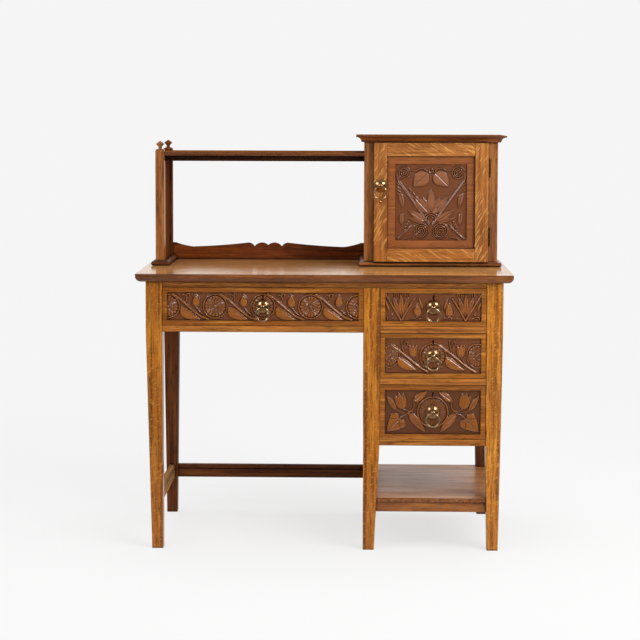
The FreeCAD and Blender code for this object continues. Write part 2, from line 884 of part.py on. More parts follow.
def hinge_leaf(name, low, leaf_y, first_knuckle):
    """A leaf with every second knuckle of the barrel, bored for the pin."""
    pitch = f"hinge_height / {KNUCKLES}"
    plate_x = ("door_right - leaf_width", "door_right")
    solids = [board(name + "_plate", plate_x, leaf_y, (low, f"{low} + hinge_height"))]
    for knuckle in range(first_knuckle, KNUCKLES, 2):
        start = f"{low} + {knuckle} * {pitch} + knuckle_gap / 2"
        length = f"{pitch} - knuckle_gap"
        label = f"{name}_knuckle_{knuckle}"
        web_z = (start, f"{start} + {length}")
        solids.append(board(label + "_web", ("door_right", "hinge_x"), leaf_y, web_z))
        solids.append(rod(label, "knuckle_radius", length, "hinge_x", "hinge_y", start))
    pin_hole = rod(name + "_bore", "pin_radius + pin_clearance", "hinge_height", "hinge_x", "hinge_y", low)
    return cut(name, joined(name + "_blank", *solids), pin_hole)


case_leaves = []
door_leaves = []
hinge_pins = []
barrel_recesses = []
for side, low in HINGES.items():
    case_leaf_y = ("gallery_front", "gallery_front + leaf_thickness")
    door_leaf_y = ("door_back - leaf_thickness", "door_back")
    case_leaves.append(hinge_leaf(f"hinge_{side}_case_leaf", low, case_leaf_y, 0))
    door_leaves.append(hinge_leaf(f"hinge_{side}_door_leaf", low, door_leaf_y, 1))
    hinge_pins.append(rod(f"hinge_{side}_pin", "pin_radius", "hinge_height", "hinge_x", "hinge_y", low))
    barrel_recesses.append(
        rod(
            f"hinge_{side}_recess",
            "knuckle_radius + hinge_clearance",
            "hinge_height + 2 * hinge_clearance",
            "hinge_x",
            "hinge_y",
            f"{low} - hinge_clearance",
        )
    )
    barrel_recesses.append(
        board(
            f"hinge_{side}_leaf_recess",
            ("door_right - leaf_width", "hinge_x"),
            case_leaf_y,
            (low, f"{low} + hinge_height"),
        )
    )
node(grouped("hinge_case_leaves", *case_leaves))
hinge_door_leaves = node(grouped("hinge_door_leaves", *door_leaves))
node(grouped("hinge_pins", *hinge_pins))

door_height = ("door_low", "door_top")
door_left_stile = cut(
    "door_left_stile",
    board("door_left_stile_blank", ("door_left", "door_inner_left"), door_y, door_height),
    door_low_rail,
    door_top_rail,
    door_panel_blank,
)
door_right_stile = cut(
    "door_right_stile",
    board("door_right_stile_blank", ("door_inner_right", "door_right"), door_y, door_height),
    door_low_rail,
    door_top_rail,
    door_panel_blank,
    hinge_door_leaves,
)
node(grouped("door_frame", door_left_stile, door_right_stile, door_low_rail, door_top_rail))

# Face frame of the cupboard behind the door, let in for the hinges
face_y = ("gallery_front", "face_back")


def face_rail(name, low, top):
    tenon_front = "gallery_front + (face_thickness - face_tenon_thickness) / 2"
    body = board(name + "_body", ("face_left", "face_right"), face_y, (low, top))
    tenons = board(
        name + "_tenons",
        ("face_left - face_tenon_length", "face_right + face_tenon_length"),
        (tenon_front, f"{tenon_front} + face_tenon_thickness"),
        (f"{low} + face_tenon_shoulder", f"{top} - face_tenon_shoulder"),
    )
    return joined(name, body, tenons)


face_top_rail = face_rail("face_top_rail", "cupboard_top - face_rail_height", "cupboard_top")
face_sill = face_rail("face_sill", "desk_height", "desk_height + face_sill_height")
face_left_stile = cut(
    "face_left_stile",
    board("face_left_stile_blank", ("pedestal_x", "face_left"), face_y, cupboard_span),
    face_top_rail,
    face_sill,
)
face_right_stile = cut(
    "face_right_stile",
    board("face_right_stile_blank", ("face_right", "right_x"), face_y, cupboard_span),
    face_top_rail,
    face_sill,
    joined("hinge_recesses", *barrel_recesses),
)
node(grouped("cupboard_face_frame", face_left_stile, face_right_stile, face_top_rail, face_sill))


# Mouldings planted round the cupboard and the gallery end, mitred at their front corners
def moulding_blank(name, run, projection, height, mitred):
    """A strip along local X whose outer face is at minus Y, longer there where an end is mitred."""
    strip = doc.addObject("Part::Wedge", name + "_strip")
    bind(
        strip,
        Xmin=f"-({projection})" if "start" in mitred else "0",
        Xmax=f"{run} + {projection}" if "end" in mitred else run,
        X2min="0",
        X2max=run,
        Ymin=f"-({projection})",
        Ymax="0",
        Zmin="0",
        Zmax=height,
        Z2min="0",
        Z2max=height,
    )
    return strip


def cove(name, run, mitred):
    """A cornice strip: a hollow under a square lip."""
    strip = moulding_blank(name, run, "cornice_projection", "cornice_height", mitred)
    hollow = rod(
        name + "_hollow",
        "cornice_height - cornice_lip",
        f"{run} + 2 * cornice_projection",
        "-cornice_projection",
        "cornice_step - cornice_projection",
        "0",
        90,
        (0, 1, 0),
    )
    return cut(name, strip, hollow)


def nosing(name, run, mitred):
    """A plinth strip with a half-round outer edge."""
    strip = moulding_blank(name, run, "plinth_projection", "plinth_height", mitred)
    ends = ("-plinth_projection", f"{run} + plinth_projection")
    nose_y = "plinth_height / 2 - plinth_projection"
    core = board(name + "_core", ends, (nose_y, "0"), ("0", "plinth_height"))
    nose = rod(
        name + "_nose",
        "plinth_height / 2",
        f"{run} + 2 * plinth_projection",
        "-plinth_projection",
        nose_y,
        "plinth_height / 2",
        90,
        (0, 1, 0),
    )
    return shared(name, strip, joined(name + "_profile", core, nose))


def planted(strips, z):
    """Turn and place strips, each given with the point its run starts from and its turn."""
    for strip, x, y, turn in strips:
        place(strip, x, y, z, turn)
    return [strip for strip, x, y, turn in strips]


cornice_z = "cupboard_top - cornice_height"
to_backboard = "gallery_depth - backboard_thickness"
cornice = planted(
    [
        (cove("cornice_front", "pedestal_width", ("start", "end")), "pedestal_x", "gallery_front", 0),
        (cove("cornice_left", "gallery_depth", ("end",)), "pedestal_x", "gallery_back", -90),
        (cove("cornice_right", "gallery_depth", ("start",)), "right_x", "gallery_front", 90),
    ],
    cornice_z,
)
node(grouped("cupboard_cornice", *cornice))
plinths = planted(
    [
        (nosing("plinth_front", "pedestal_width", ("start", "end")), "pedestal_x", "gallery_front", 0),
        (nosing("plinth_left", to_backboard, ("end",)), "pedestal_x", "backboard_front", -90),
        (nosing("plinth_right", "gallery_depth", ("start",)), "right_x", "gallery_front", 90),
        (nosing("post_foot_front", "post_width", ("start", "end")), "left_x", "gallery_front", 0),
        (nosing("post_foot_left", "gallery_depth", ("end",)), "left_x", "gallery_back", -90),
        (nosing("post_foot_right", to_backboard, ("start",)), "post_right", "gallery_front", 90),
    ],
    "desk_height",
)
node(grouped("base_mouldings", *plinths))


# Ring pulls: a domed boss with a pierced knob, and a ring that swings in it
def pull(name, x, z, face, ground=None):
    """Stand a pull on a face, its boss reaching down to the ground of a sunk field if there is one."""
    dome = doc.addObject("Part::Sphere", name + "_dome")
    bind(dome, Radius="dome_sphere", Angle1="asin((dome_sphere - dome_height) / dome_sphere)")
    dome.Angle2 = 90
    place(dome, x, f"{face} + dome_sphere - dome_height", z, 90, (1, 0, 0))
    solids = [dome]
    if ground:
        solids.append(
            rod(name + "_seat", "boss_radius", f"({ground}) - ({face})", x, ground, z, 90, (1, 0, 0))
        )
    knob = doc.addObject("Part::Sphere", name + "_knob")
    bind(knob, Radius="knob_radius")
    place(knob, x, f"{face} - knob_standoff", z)
    solids.append(knob)
    pivot_y = f"{face} - knob_standoff"
    pivot_z = f"{z} - pivot_drop"
    flares = []
    for side, turn in (("right", 90), ("left", -90)):
        flare = doc.addObject("Part::Cone", f"{name}_{side}_flare")
        bind(
            flare,
            Radius1="ring_wire + ring_clearance",
            Radius2="ring_wire + ring_clearance + ring_sagitta",
            Height="ring_reach",
        )
        place(flare, x, pivot_y, pivot_z, turn, (0, 1, 0))
        flares.append(flare)
    bore = joined(name + "_bore", *flares)
    node(cut(name + "_boss", joined(name + "_boss_blank", *solids), bore))
    ring = doc.addObject("Part::Torus", name + "_ring")
    bind(ring, Radius1="ring_radius", Radius2="ring_wire")
    place(ring, x, pivot_y, f"{pivot_z} - ring_radius", 90, (1, 0, 0))
    node(ring)


pull("door_pull", "door_left + door_stile_width / 2", "door_top - door_pull_drop", "door_front")


# Drawers: a carved front lapped over a box of thin boards, with a lock and a pull
def drawer(name):
    left, right, low, top = DRAWERS[name]
    front_left = f"{left} + drawer_gap"
    front_right = f"{right} - drawer_gap"
    front_low = f"{low} + slide_gap"
    front_top = f"{top} - drawer_gap"
    middle = f"(({left}) + ({right})) / 2"
    face = "rail_front"
    front_back = f"{face} + drawer_front_thickness"
    box_back = f"{face} + drawer_depth"
    side_top = f"{front_top} - drawer_side_drop"
    bottom_low = f"{front_low} + drawer_bottom_rise"
    bottom_top = f"{bottom_low} + drawer_bottom_thickness"

    bottom = board(
        name + "_bottom",
        (
            f"{front_left} + drawer_side_thickness - drawer_groove",
            f"{front_right} - drawer_side_thickness + drawer_groove",
        ),
        (f"{front_back} - drawer_groove", box_back),
        (bottom_low, bottom_top),
    )
    side_y = (f"{face} + drawer_lap", box_back)
    side_z = (front_low, side_top)
    left_side_x = (front_left, f"{front_left} + drawer_side_thickness")
    right_side_x = (f"{front_right} - drawer_side_thickness", front_right)
    left_blank = board(name + "_left_blank", left_side_x, side_y, side_z)
    right_blank = board(name + "_right_blank", right_side_x, side_y, side_z)
    left_side = cut(name + "_left_side", left_blank, bottom)
    right_side = cut(name + "_right_side", right_blank, bottom)
    back = board(
        name + "_back",
        (left_side_x[1], right_side_x[0]),
        (f"{box_back} - drawer_back_thickness", box_back),
        (bottom_top, f"{side_top} - drawer_back_drop"),
    )

    lock_middle = f"{front_back} - lock_depth / 2"
    lock_low = f"{front_top} - lock_height"
    lock_x = (f"{middle} - lock_width / 2", f"{middle} + lock_width / 2")
    lock_y = (f"{front_back} - lock_depth", front_back)
    lock_case = board(name + "_lock_case", lock_x, lock_y, (lock_low, front_top))
    bolt_top = f"{front_top} - bolt_drop"
    bolt_low = f"{bolt_top} - bolt_height"
    bolt = board(
        name + "_lock_bolt",
        (f"{middle} - bolt_width / 2", f"{middle} + bolt_width / 2"),
        (f"{lock_middle} - bolt_thickness / 2", f"{lock_middle} + bolt_thickness / 2"),
        (bolt_low, bolt_top),
    )
    channel = board(
        name + "_bolt_channel",
        (f"{middle} - bolt_width / 2 - bolt_gap", f"{middle} + bolt_width / 2 + bolt_gap"),
        (
            f"{lock_middle} - bolt_thickness / 2 - bolt_gap",
            f"{lock_middle} + bolt_thickness / 2 + bolt_gap",
        ),
        (f"{bolt_low} - bolt_gap", front_top),
    )

    field = board(
        name + "_field",
        (f"{front_left} + field_border", f"{front_right} - field_border"),
        (face, f"{face} + field_sink"),
        (f"{front_low} + field_border", f"{front_top} - field_border"),
    )
    key_z = f"{front_top} - field_border - key_drop"
    wood_depth = "drawer_front_thickness - lock_depth"
    key_end = f"{face} + {wood_depth}"
    key_round = rod(name + "_key_round", "key_radius", wood_depth, middle, key_end, key_z, 90, (1, 0, 0))
    key_slot = board(
        name + "_key_slot",
        (f"{middle} - key_slot_width / 2", f"{middle} + key_slot_width / 2"),
        (face, key_end),
        (f"{key_z} - key_slot_length", key_z),
    )
    hollows = joined(name + "_front_hollows", field, key_round, key_slot)
    plank = board(name + "_plank", (front_left, front_right), (face, front_back), (front_low, front_top))
    node(
        cut(
            name + "_front",
            cut(name + "_carved_plank", plank, hollows),
            left_side,
            right_side,
            bottom,
            lock_case,
        )
    )
    node(grouped(name + "_box", left_side, right_side, back, bottom))
    node(cut(name + "_lock", lock_case, channel))
    node(bolt)
    pull(name + "_pull", middle, f"({front_low} + {front_top}) / 2", face, f"{face} + field_sink")


for name in DRAWERS:
    drawer(name)

# Build everything, make sure that it is sound, and write each part
doc.recompute()
faulty = [item.Label for item in doc.Objects if {"Invalid", "Error"} & set(item.State)]
if faulty:
    raise RuntimeError(f"not built: {faulty}")
for piece in nodes:
    if piece.Shape.isNull() or not piece.Shape.isValid() or not piece.Shape.Solids:
        raise RuntimeError(f"not a sound solid: {piece.Label}")

os.makedirs("parts", exist_ok=True)
for piece in nodes:
    piece.Shape.exportStep(f"parts/{piece.Label}.step")
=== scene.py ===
import json
import math

import bpy
import numpy as np
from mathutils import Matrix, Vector

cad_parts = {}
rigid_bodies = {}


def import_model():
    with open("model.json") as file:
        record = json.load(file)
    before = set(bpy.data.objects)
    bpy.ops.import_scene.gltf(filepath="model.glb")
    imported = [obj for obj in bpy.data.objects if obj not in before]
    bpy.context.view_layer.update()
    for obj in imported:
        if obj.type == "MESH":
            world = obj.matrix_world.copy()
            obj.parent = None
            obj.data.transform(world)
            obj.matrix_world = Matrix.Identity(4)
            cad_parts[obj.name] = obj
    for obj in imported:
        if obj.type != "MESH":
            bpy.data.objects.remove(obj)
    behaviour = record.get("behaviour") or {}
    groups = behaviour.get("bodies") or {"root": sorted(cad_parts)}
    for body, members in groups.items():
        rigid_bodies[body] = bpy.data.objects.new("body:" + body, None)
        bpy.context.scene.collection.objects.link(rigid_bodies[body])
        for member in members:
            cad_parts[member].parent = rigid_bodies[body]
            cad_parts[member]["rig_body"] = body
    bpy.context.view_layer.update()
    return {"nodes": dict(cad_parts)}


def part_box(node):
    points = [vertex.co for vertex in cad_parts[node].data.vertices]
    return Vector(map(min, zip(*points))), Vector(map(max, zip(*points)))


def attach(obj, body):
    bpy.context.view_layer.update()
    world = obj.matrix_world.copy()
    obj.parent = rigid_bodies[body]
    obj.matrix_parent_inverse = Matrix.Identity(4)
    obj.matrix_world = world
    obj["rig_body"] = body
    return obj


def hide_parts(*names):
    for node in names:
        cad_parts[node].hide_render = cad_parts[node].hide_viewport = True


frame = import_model()

# Legs: six lengths of oak, square where the rails are tenoned into them and planed to a taper below.
# The three in front are golden with age and wax, and the three behind have gone nearly black.
MM = 0.001

# Oak cut from the plank, stained, waxed and rubbed for a century: soft dark streaks of growth rings,
# darker dashes of open pores, paler streaks between, and painted shade darkening the corners
GOLDEN_OAK = {
    "name": "waxed golden oak",
    "body": "#A46018",
    "ring": "#6C3A0C",
    "pale": "#BA7A26",
    "pore": "#46230A",
    "shade_and_grime": "#241206",
    "roughness": (0.24, 0.36),
    "polish": 0.3,
    "fleck": "#CC903C",
    "fleck_size": (3.0 * MM, 12 * MM),
    "lean": math.radians(62),
    "fleck_strength": 0.5,
}
DARK_OAK = {
    "name": "dark aged oak",
    "body": "#643518",
    "ring": "#42210E",
    "pale": "#76441E",
    "pore": "#1E0E05",
    "shade_and_grime": "#140904",
    "roughness": (0.4, 0.55),
    "polish": 0.1,
}
RING_WIDTH, RING_LENGTH = 9 * MM, 330 * MM
PALE_WIDTH, PALE_LENGTH = 14 * MM, 170 * MM
# Real pores are a third of a millimetre wide, drawn here as wide as the render can show
PORE_WIDTH, PORE_LENGTH = 2.4 * MM, 34 * MM
CLOUD_WIDTH, CLOUD_LENGTH = 70 * MM, 240 * MM
# How far from other wood the painted shade in corners reaches
PAINTED_SHADE_REACH = 7 * MM
# How far the arrises of stout and of thin boards are eased, and corners that count as one
EASE, THIN_EASE = 0.9 * MM, 0.6 * MM
WELD = 0.005 * MM


def linear(colour):
    """An sRGB hex colour as the linear one that shaders take."""
    parts = [int(colour[start : start + 2], 16) / 255 for start in (1, 3, 5)]
    return [p / 12.92 if p <= 0.04045 else ((p + 0.055) / 1.055) ** 2.4 for p in parts] + [1.0]


def add_node(tree, kind, sockets=None, **settings):
    """Add a shader node with its settings; a socket takes a value or another node's output."""
    made = tree.nodes.new("ShaderNode" + kind)
    for name, value in settings.items():
        setattr(made, name, value)
    for key, value in (sockets or {}).items():
        if isinstance(value, bpy.types.NodeSocket):
            tree.links.new(value, made.inputs[key])
        else:
            made.inputs[key].default_value = value
    return made


def drawn_out(tree, width, length, along, detail=2.0, turn=0.0):
    """A cloudy pattern drawn out along the grain, leaning by a turn about Y where it is a fleck."""
    size = [width] * 3
    size[along] = length
    spot = add_node(tree, "TexCoord").outputs["Object"]
    laid = add_node(
        tree,
        "Mapping",
        {"Vector": spot, "Scale": size, "Rotation": (0, turn, 0)},
        vector_type="TEXTURE",
    )
    noise = {"Vector": laid.outputs[0], "Scale": 1.0, "Detail": detail, "Roughness": 0.55}
    return add_node(tree, "TexNoise", noise).outputs[0]


def stained(tree, colour, where, low, high, stain, strength):
    """Lay a stain over a colour where a pattern goes from low to high."""
    amount = add_node(
        tree,
        "MapRange",
        {"Value": where, "From Min": low, "From Max": high, "To Max": strength},
        interpolation_type="SMOOTHSTEP",
    )
    tints = {0: amount.outputs[0], 6: colour, 7: linear(stain)}
    return add_node(tree, "Mix", tints, data_type="RGBA").outputs[2]


def oak(finish, along):
    """Waxed oak with its grain along one axis, and shade painted dark into its corners."""
    name = f"{finish['name']} along {'XYZ'[along]}"
    if name in bpy.data.materials:
        return bpy.data.materials[name]
    made = bpy.data.materials.new(name)
    made.use_nodes = True
    tree = made.node_tree
    shader = tree.nodes["Principled BSDF"]
    rings = drawn_out(tree, RING_WIDTH, RING_LENGTH, along, 3.0)
    pale = drawn_out(tree, PALE_WIDTH, PALE_LENGTH, along)
    pores = drawn_out(tree, PORE_WIDTH, PORE_LENGTH, along)
    cloud = drawn_out(tree, CLOUD_WIDTH, CLOUD_LENGTH, along)
    # Painted shade: the wood is darkened where other surfaces stand close, in corners and gaps
    corner = add_node(tree, "AmbientOcclusion", {"Distance": PAINTED_SHADE_REACH}, samples=6).outputs["AO"]
    colour = stained(tree, linear(finish["body"]), pale, 0.48, 0.68, finish["pale"], 0.8)
    colour = stained(tree, colour, rings, 0.45, 0.63, finish["ring"], 0.9)
    colour = stained(tree, colour, cloud, 0.48, 0.68, finish["ring"], 0.5)
    lean = finish.get("lean" if along == 2 else "rail_lean")
    if lean is not None:
        flecks = drawn_out(tree, *finish["fleck_size"], along, 1.0, lean)
        colour = stained(tree, colour, flecks, 0.58, 0.66, finish["fleck"], finish["fleck_strength"])
    colour = stained(tree, colour, pores, 0.54, 0.67, finish["pore"], 0.7)
    colour = stained(tree, colour, corner, 0.92, 0.45, finish["shade_and_grime"], 0.95)
    tree.links.new(colour, shader.inputs["Base Color"])
    shader.inputs["Specular IOR Level"].default_value = finish["polish"]
    smooth, rough = finish["roughness"]
    gloss = add_node(
        tree,
        "MapRange",
        {"Value": cloud, "From Min": 0.3, "From Max": 0.7, "To Min": smooth, "To Max": rough},
    )
    tree.links.new(gloss.outputs[0], shader.inputs["Roughness"])
    relief = add_node(tree, "Bump", {"Height": pores, "Strength": 0.25, "Distance": -0.3 * MM})
    tree.links.new(relief.outputs[0], shader.inputs["Normal"])
    return made


def chosen(piece):
    """Make a piece the only selected one and the active one."""
    bpy.ops.object.select_all(action="DESELECT")
    piece.select_set(True)
    bpy.context.view_layer.objects.active = piece


def boards(node, finish, ease=EASE, grain=None, dirt_and_shade=False, flat=False):
    """Take a node's boards apart, soften their arrises and darken them as old wax does and as painted
    shade in the gaps between parts, and grain each along its length. Frames in one piece stay flat, as
    smooth shading would cast false shade."""
    dark = {
        "name": finish["name"] + ", arris",
        "body": finish["ring"],
        "pale": finish["body"],
        "ring": finish["pore"],
    }
    # Arrises along the gaps get the darkest colour: dirt, and painted shade in the gaps
    if dirt_and_shade:
        dark = {"name": finish["name"] + ", soiled arris", "body": finish["shade_and_grime"], "pale": finish["pore"]}
    arris = {**finish, **dark}
    source = frame["nodes"][node]
    copy = bpy.data.objects.new(node + "_wood", source.data.copy())
    bpy.context.scene.collection.objects.link(copy)
    chosen(copy)
    bpy.ops.mesh.customdata_custom_splitnormals_clear()
    bpy.ops.object.mode_set(mode="EDIT")
    bpy.ops.mesh.select_all(action="SELECT")
    bpy.ops.mesh.remove_doubles(threshold=WELD)
    bpy.ops.mesh.dissolve_limited(angle_limit=math.radians(0.5))
    bpy.ops.mesh.separate(type="LOOSE")
    bpy.ops.object.mode_set(mode="OBJECT")
    made = sorted(bpy.context.selected_objects, key=lambda board: tuple(board.bound_box[0]))
    for number, board in enumerate(made, 1):
        board.name = f"{node}_wood_{number}" if len(made) > 1 else node + "_wood"
        chosen(board)
        along = max(range(3), key=lambda axis: board.dimensions[axis]) if grain is None else grain
        board.data.materials.clear()
        board.data.materials.append(oak(finish, along))
        board.data.materials.append(oak(arris, along))
        bevel = board.modifiers.new("ease", "BEVEL")
        bevel.width = ease
        bevel.segments = 2
        bevel.limit_method = "ANGLE"
        bevel.angle_limit = math.radians(40)
        bevel.material = 1
        bpy.ops.object.modifier_apply(modifier=bevel.name)
        if flat:
            bpy.ops.object.shade_flat()
        else:
            bpy.ops.object.shade_smooth_by_angle(angle=math.radians(50))
            level = board.modifiers.new("level faces", "WEIGHTED_NORMAL")
            level.keep_sharp = True
            bpy.ops.object.modifier_apply(modifier=level.name)
        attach(board, source["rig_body"])
        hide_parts(node)
    return made


# Painted light: the right front leg is paler for the stronger lamp on that side
PALER_OAK = {
    **GOLDEN_OAK,
    "name": "waxed golden oak, paler",
    "body": "#B46E20",
    "ring": "#824A14",
    "pale": "#CA8A34",
    "fleck": "#D89E48",
}
for place, finish in zip(("left", "middle", "right"), (GOLDEN_OAK, GOLDEN_OAK, PALER_OAK)):
    boards("leg_front_" + place, finish)
    boards("leg_back_" + place, DARK_OAK)

# Front rails: slips of golden oak tenoned between the legs over and under the drawers, one of them
# running over the middle leg just below the desktop.
RAIL_OAK = {
    **GOLDEN_OAK,
    "name": "waxed golden oak, rails",
    "body": "#A8672A",
    "ring": "#784618",
    "pale": "#BA7A32",
}
BOTTOM_RAIL_OAK = {**RAIL_OAK, "name": "waxed golden oak, bottom rail", "body": "#94561E"}
# The rails' arrises are darkened as dirt and as painted shade in the gaps round the drawers
for node in ("front_top_rail", "kneehole_rail"):
    boards(node, RAIL_OAK, dirt_and_shade=True)
bottom_rail = boards("pedestal_rails", RAIL_OAK, dirt_and_shade=True)[0]
bottom_rail.data.materials[0] = oak(BOTTOM_RAIL_OAK, 0)

# Side and back panels: thin boards of brown oak let into grooves in the legs, and darker ones at the
# back, where they stood against a wall.
BROWN_OAK = {
    "name": "waxed brown oak",
    "body": "#8A5022",
    "ring": "#643412",
    "pale": "#A0642C",
    "pore": "#3A1D0A",
    "shade_and_grime": "#241206",
    "roughness": (0.24, 0.36),
    "polish": 0.4,
}
boards("left_side_panel", BROWN_OAK)
boards("pedestal_sides", BROWN_OAK)
boards("back_panels", DARK_OAK)

# Low shelf, its rails and the stretchers: brown boards housed between the feet, the shelf polished on top,
# the rails set back below its edge and the stretchers dark at the left and at the back. The shelf's top is
# painted paler, as painted light and sheen, and the left stretcher is painted pale instead, as painted
# sheen.
# Painted light: a paler oak standing for the light and sheen that tops take
PAINTED_LIGHT_OAK = {
    "name": "painted_light oak, dulled with use",
    "body": "#BA7C46",
    "ring": "#8E582C",
    "pale": "#CC9052",
    "pore": "#5A3418",
    "shade_and_grime": "#2A160A",
    "roughness": (0.28, 0.4),
    "polish": 0.4,
}


def topped(board, finish):
    """Give the upper faces of a board a finish of their own, grained along X."""
    board.data.materials.append(oak(finish, 0))
    for face in board.data.polygons:
        if face.normal.z > 0.99:
            face.material_index = 2


for board in boards("pedestal_shelf", BROWN_OAK):
    topped(board, PAINTED_LIGHT_OAK)
boards("shelf_rails", BROWN_OAK)
# Painted sheen: the left stretcher is painted pale for the sheen on its inner face
SHEEN_PAINTED_OAK = {**PAINTED_LIGHT_OAK, "name": "faded oak, scuffed dry", "body": "#9A7450", "polish": 0.0}
for board in boards("stretchers", DARK_OAK):
    if board.dimensions.y > board.dimensions.x:
        board.data.materials[0] = oak(SHEEN_PAINTED_OAK, 1)

# Drawer runners, guides and kickers: plain strips of deal nailed inside the carcass, never stained.
# Bare planed softwood, dull and pale yellow with straight brown grain.
DRAWER_DEAL = {
    "name": "bare planed deal",
    "body": "#B08A5A",
    "ring": "#8F6638",
    "pale": "#C4A273",
    "pore": "#7A5530",
    "shade_and_grime": "#4A3320",
    "roughness": (0.6, 0.75),
    "polish": 0.0,
}
DEAL_EASE = 0.5 * MM
boards("drawer_runners", DRAWER_DEAL, ease=DEAL_EASE)

# Desktop: wide brown boards glued edge to edge and screwed to the rails from below, with the lower edge
# rounded over. Its polish is the best kept and takes the light, and its top is painted far paler than its
# edge, as painted light.
EDGE_OAK = {
    **BROWN_OAK,
    "name": "waxed brown oak, desktop edge",
    "body": "#784420",
    "ring": "#542C12",
    "pale": "#8A5228",
}
# Painted light: the desktop's top, much paler than its darker edge for the light that falls on it
POLISHED_PAINTED_LIGHT_OAK = {
    **PAINTED_LIGHT_OAK,
    "name": "painted_light oak, polished",
    "body": "#DCA05E",
    "ring": "#B27A44",
    "pale": "#E8B070",
    "roughness": (0.09, 0.16),
    "polish": 0.5,
}
for board in boards("desktop", EDGE_OAK):
    topped(board, POLISHED_PAINTED_LIGHT_OAK)

# Gallery at the left: two posts with carved finials, a panel grooved between them, a thin shelf on a rail
# painted near black as painted shadow under the shelf, and a low backboard with a scalloped upper edge.
REDDENED_OAK = {
    **DARK_OAK,
    "name": "dark aged oak, reddened",
    "body": "#783A14",
    "ring": "#4E240B",
    "pale": "#8C4A1C",
}
# Painted shadow: the rail under the gallery shelf, near black for the shelf's shadow
SHADOW_PAINTED_OAK = {
    **DARK_OAK,
    "name": "dark aged oak, shadow_painted",
    "body": "#2E160A",
    "ring": "#200E06",
    "pale": "#3C200E",
}
DRY_OAK = {
    **DARK_OAK,
    "name": "dark aged oak, dry",
    "body": "#743E20",
    "ring": "#4E2812",
    "pale": "#864E28",
    "polish": 0.0,
}
POST_OAK = {
    **BROWN_OAK,
    "name": "waxed brown oak, posts",
    "body": "#925828",
    "ring": "#6A3A18",
    "pale": "#A66C34",
}
back_post = boards("gallery_posts", POST_OAK)[1]
back_post.data.materials[0] = oak(DRY_OAK, 2)
boards("gallery_end_panel", DRY_OAK)
SHELF_OAK = {**EDGE_OAK, "name": "waxed brown oak, gallery shelf", "body": "#603618"}
DUSTY_OAK = {**BROWN_OAK, "name": "brown oak, dusty", "roughness": (0.5, 0.65), "polish": 0.0}
for board in boards("gallery_shelf", SHELF_OAK, ease=THIN_EASE):
    topped(board, DUSTY_OAK)
boards("gallery_shelf_rail", SHADOW_PAINTED_OAK)
boards("gallery_backboard", REDDENED_OAK)

# Cupboard: a box of brown oak boards with a front frame, and the mouldings planted round its top
# and foot, mitred at the corners.
STILE_OAK = {
    **BROWN_OAK,
    "name": "waxed brown oak, face frame",
    "body": "#98602E",
    "ring": "#70401A",
    "pale": "#AA7038",
}
CORNICE_OAK = {
    **BROWN_OAK,
    "name": "waxed brown oak, cornice",
    "body": "#7A401A",
    "ring": "#562C10",
    "pale": "#8C5020",
}
boards("cupboard_floor", BROWN_OAK, ease=THIN_EASE)
boards("cupboard_top", DUSTY_OAK, ease=THIN_EASE)
for board in boards("base_mouldings", BROWN_OAK, ease=THIN_EASE):
    if board.bound_box[0][0] < 0:
        board.data.materials[0] = oak(DARK_OAK, 0)
case = boards("cupboard_cornice", CORNICE_OAK, ease=THIN_EASE)
case += boards("cupboard_sides", BROWN_OAK, ease=THIN_EASE)
case += boards("cupboard_face_frame", STILE_OAK, grain=2, flat=True)
case += boards("cupboard_back", DARK_OAK)
for board in case:
    topped(board, DUSTY_OAK)

# Cupboard door: a frame of quarter-sawn oak, tenoned at the corners and grooved for a thin panel.
# The saw cut along the tree's rays, which show as pale dashes slanting across the grain.
FIGURED_OAK = {
    "name": "waxed quarter-sawn oak",
    "body": "#A2642A",
    "ring": "#804A1C",
    "pale": "#B07232",
    "pore": "#643812",
    "shade_and_grime": "#241206",
    "roughness": (0.24, 0.36),
    "polish": 0.4,
    "fleck": "#CC964E",
    "fleck_size": (3.4 * MM, 40 * MM),
    "lean": math.radians(30),
    "rail_lean": math.radians(30),
    "fleck_strength": 0.8,
}
DOOR_STILE = 37 * MM
low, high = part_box("door_frame")
for board in boards("door_frame", FIGURED_OAK, flat=True):
    board.data.materials.append(oak(FIGURED_OAK, 0))
    for face in board.data.polygons:
        if low.x + DOOR_STILE < face.center.x < high.x - DOOR_STILE and face.material_index == 0:
            face.material_index = 2
PANEL_OAK = {
    **BROWN_OAK,
    "name": "waxed brown oak, door panel",
    "body": "#8E5226",
    "ring": "#7A441E",
    "pale": "#98592A",
    "pore": "#5A3014",
}
boards("door_panel", PANEL_OAK, ease=THIN_EASE, grain=0)

# Drawers: fronts of golden oak with a border left round a sunk field, and boxes of bare deal. The
# sides are let into the backs of the fronts, and the bottoms into grooves.
DRAWERS = ("kneehole_drawer", "top_drawer", "middle_drawer", "bottom_drawer")
# Painted shade: near black for the sunk fields' walls and the keyholes, which lie in shade
SHADE_PAINTED_OAK = {
    **DARK_OAK,
    "name": "dark aged oak, shade_painted",
    "body": "#140904",
    "ring": "#0C0502",
    "pale": "#1C0D06",
}


def darkened(board, low, high):
    """Paint shade onto what is cut into the face of a drawer front: the sunk field's walls and the
    keyhole.
    """
    board.data.materials.append(oak(SHADE_PAINTED_OAK, 0))
    edge = Vector((6 * MM, 1 * MM, 6 * MM))
    first, last = low + edge, high - edge
    for face in board.data.polygons:
        spot = face.center
        within = first.x < spot.x < last.x and first.z < spot.z < last.z
        if within and spot.y > first.y and face.normal.y < 0.9:
            face.material_index = 2


# Faces this near to a box's left or right belong to its sides, which are grained front to back
DRAWER_SIDE = 14 * MM
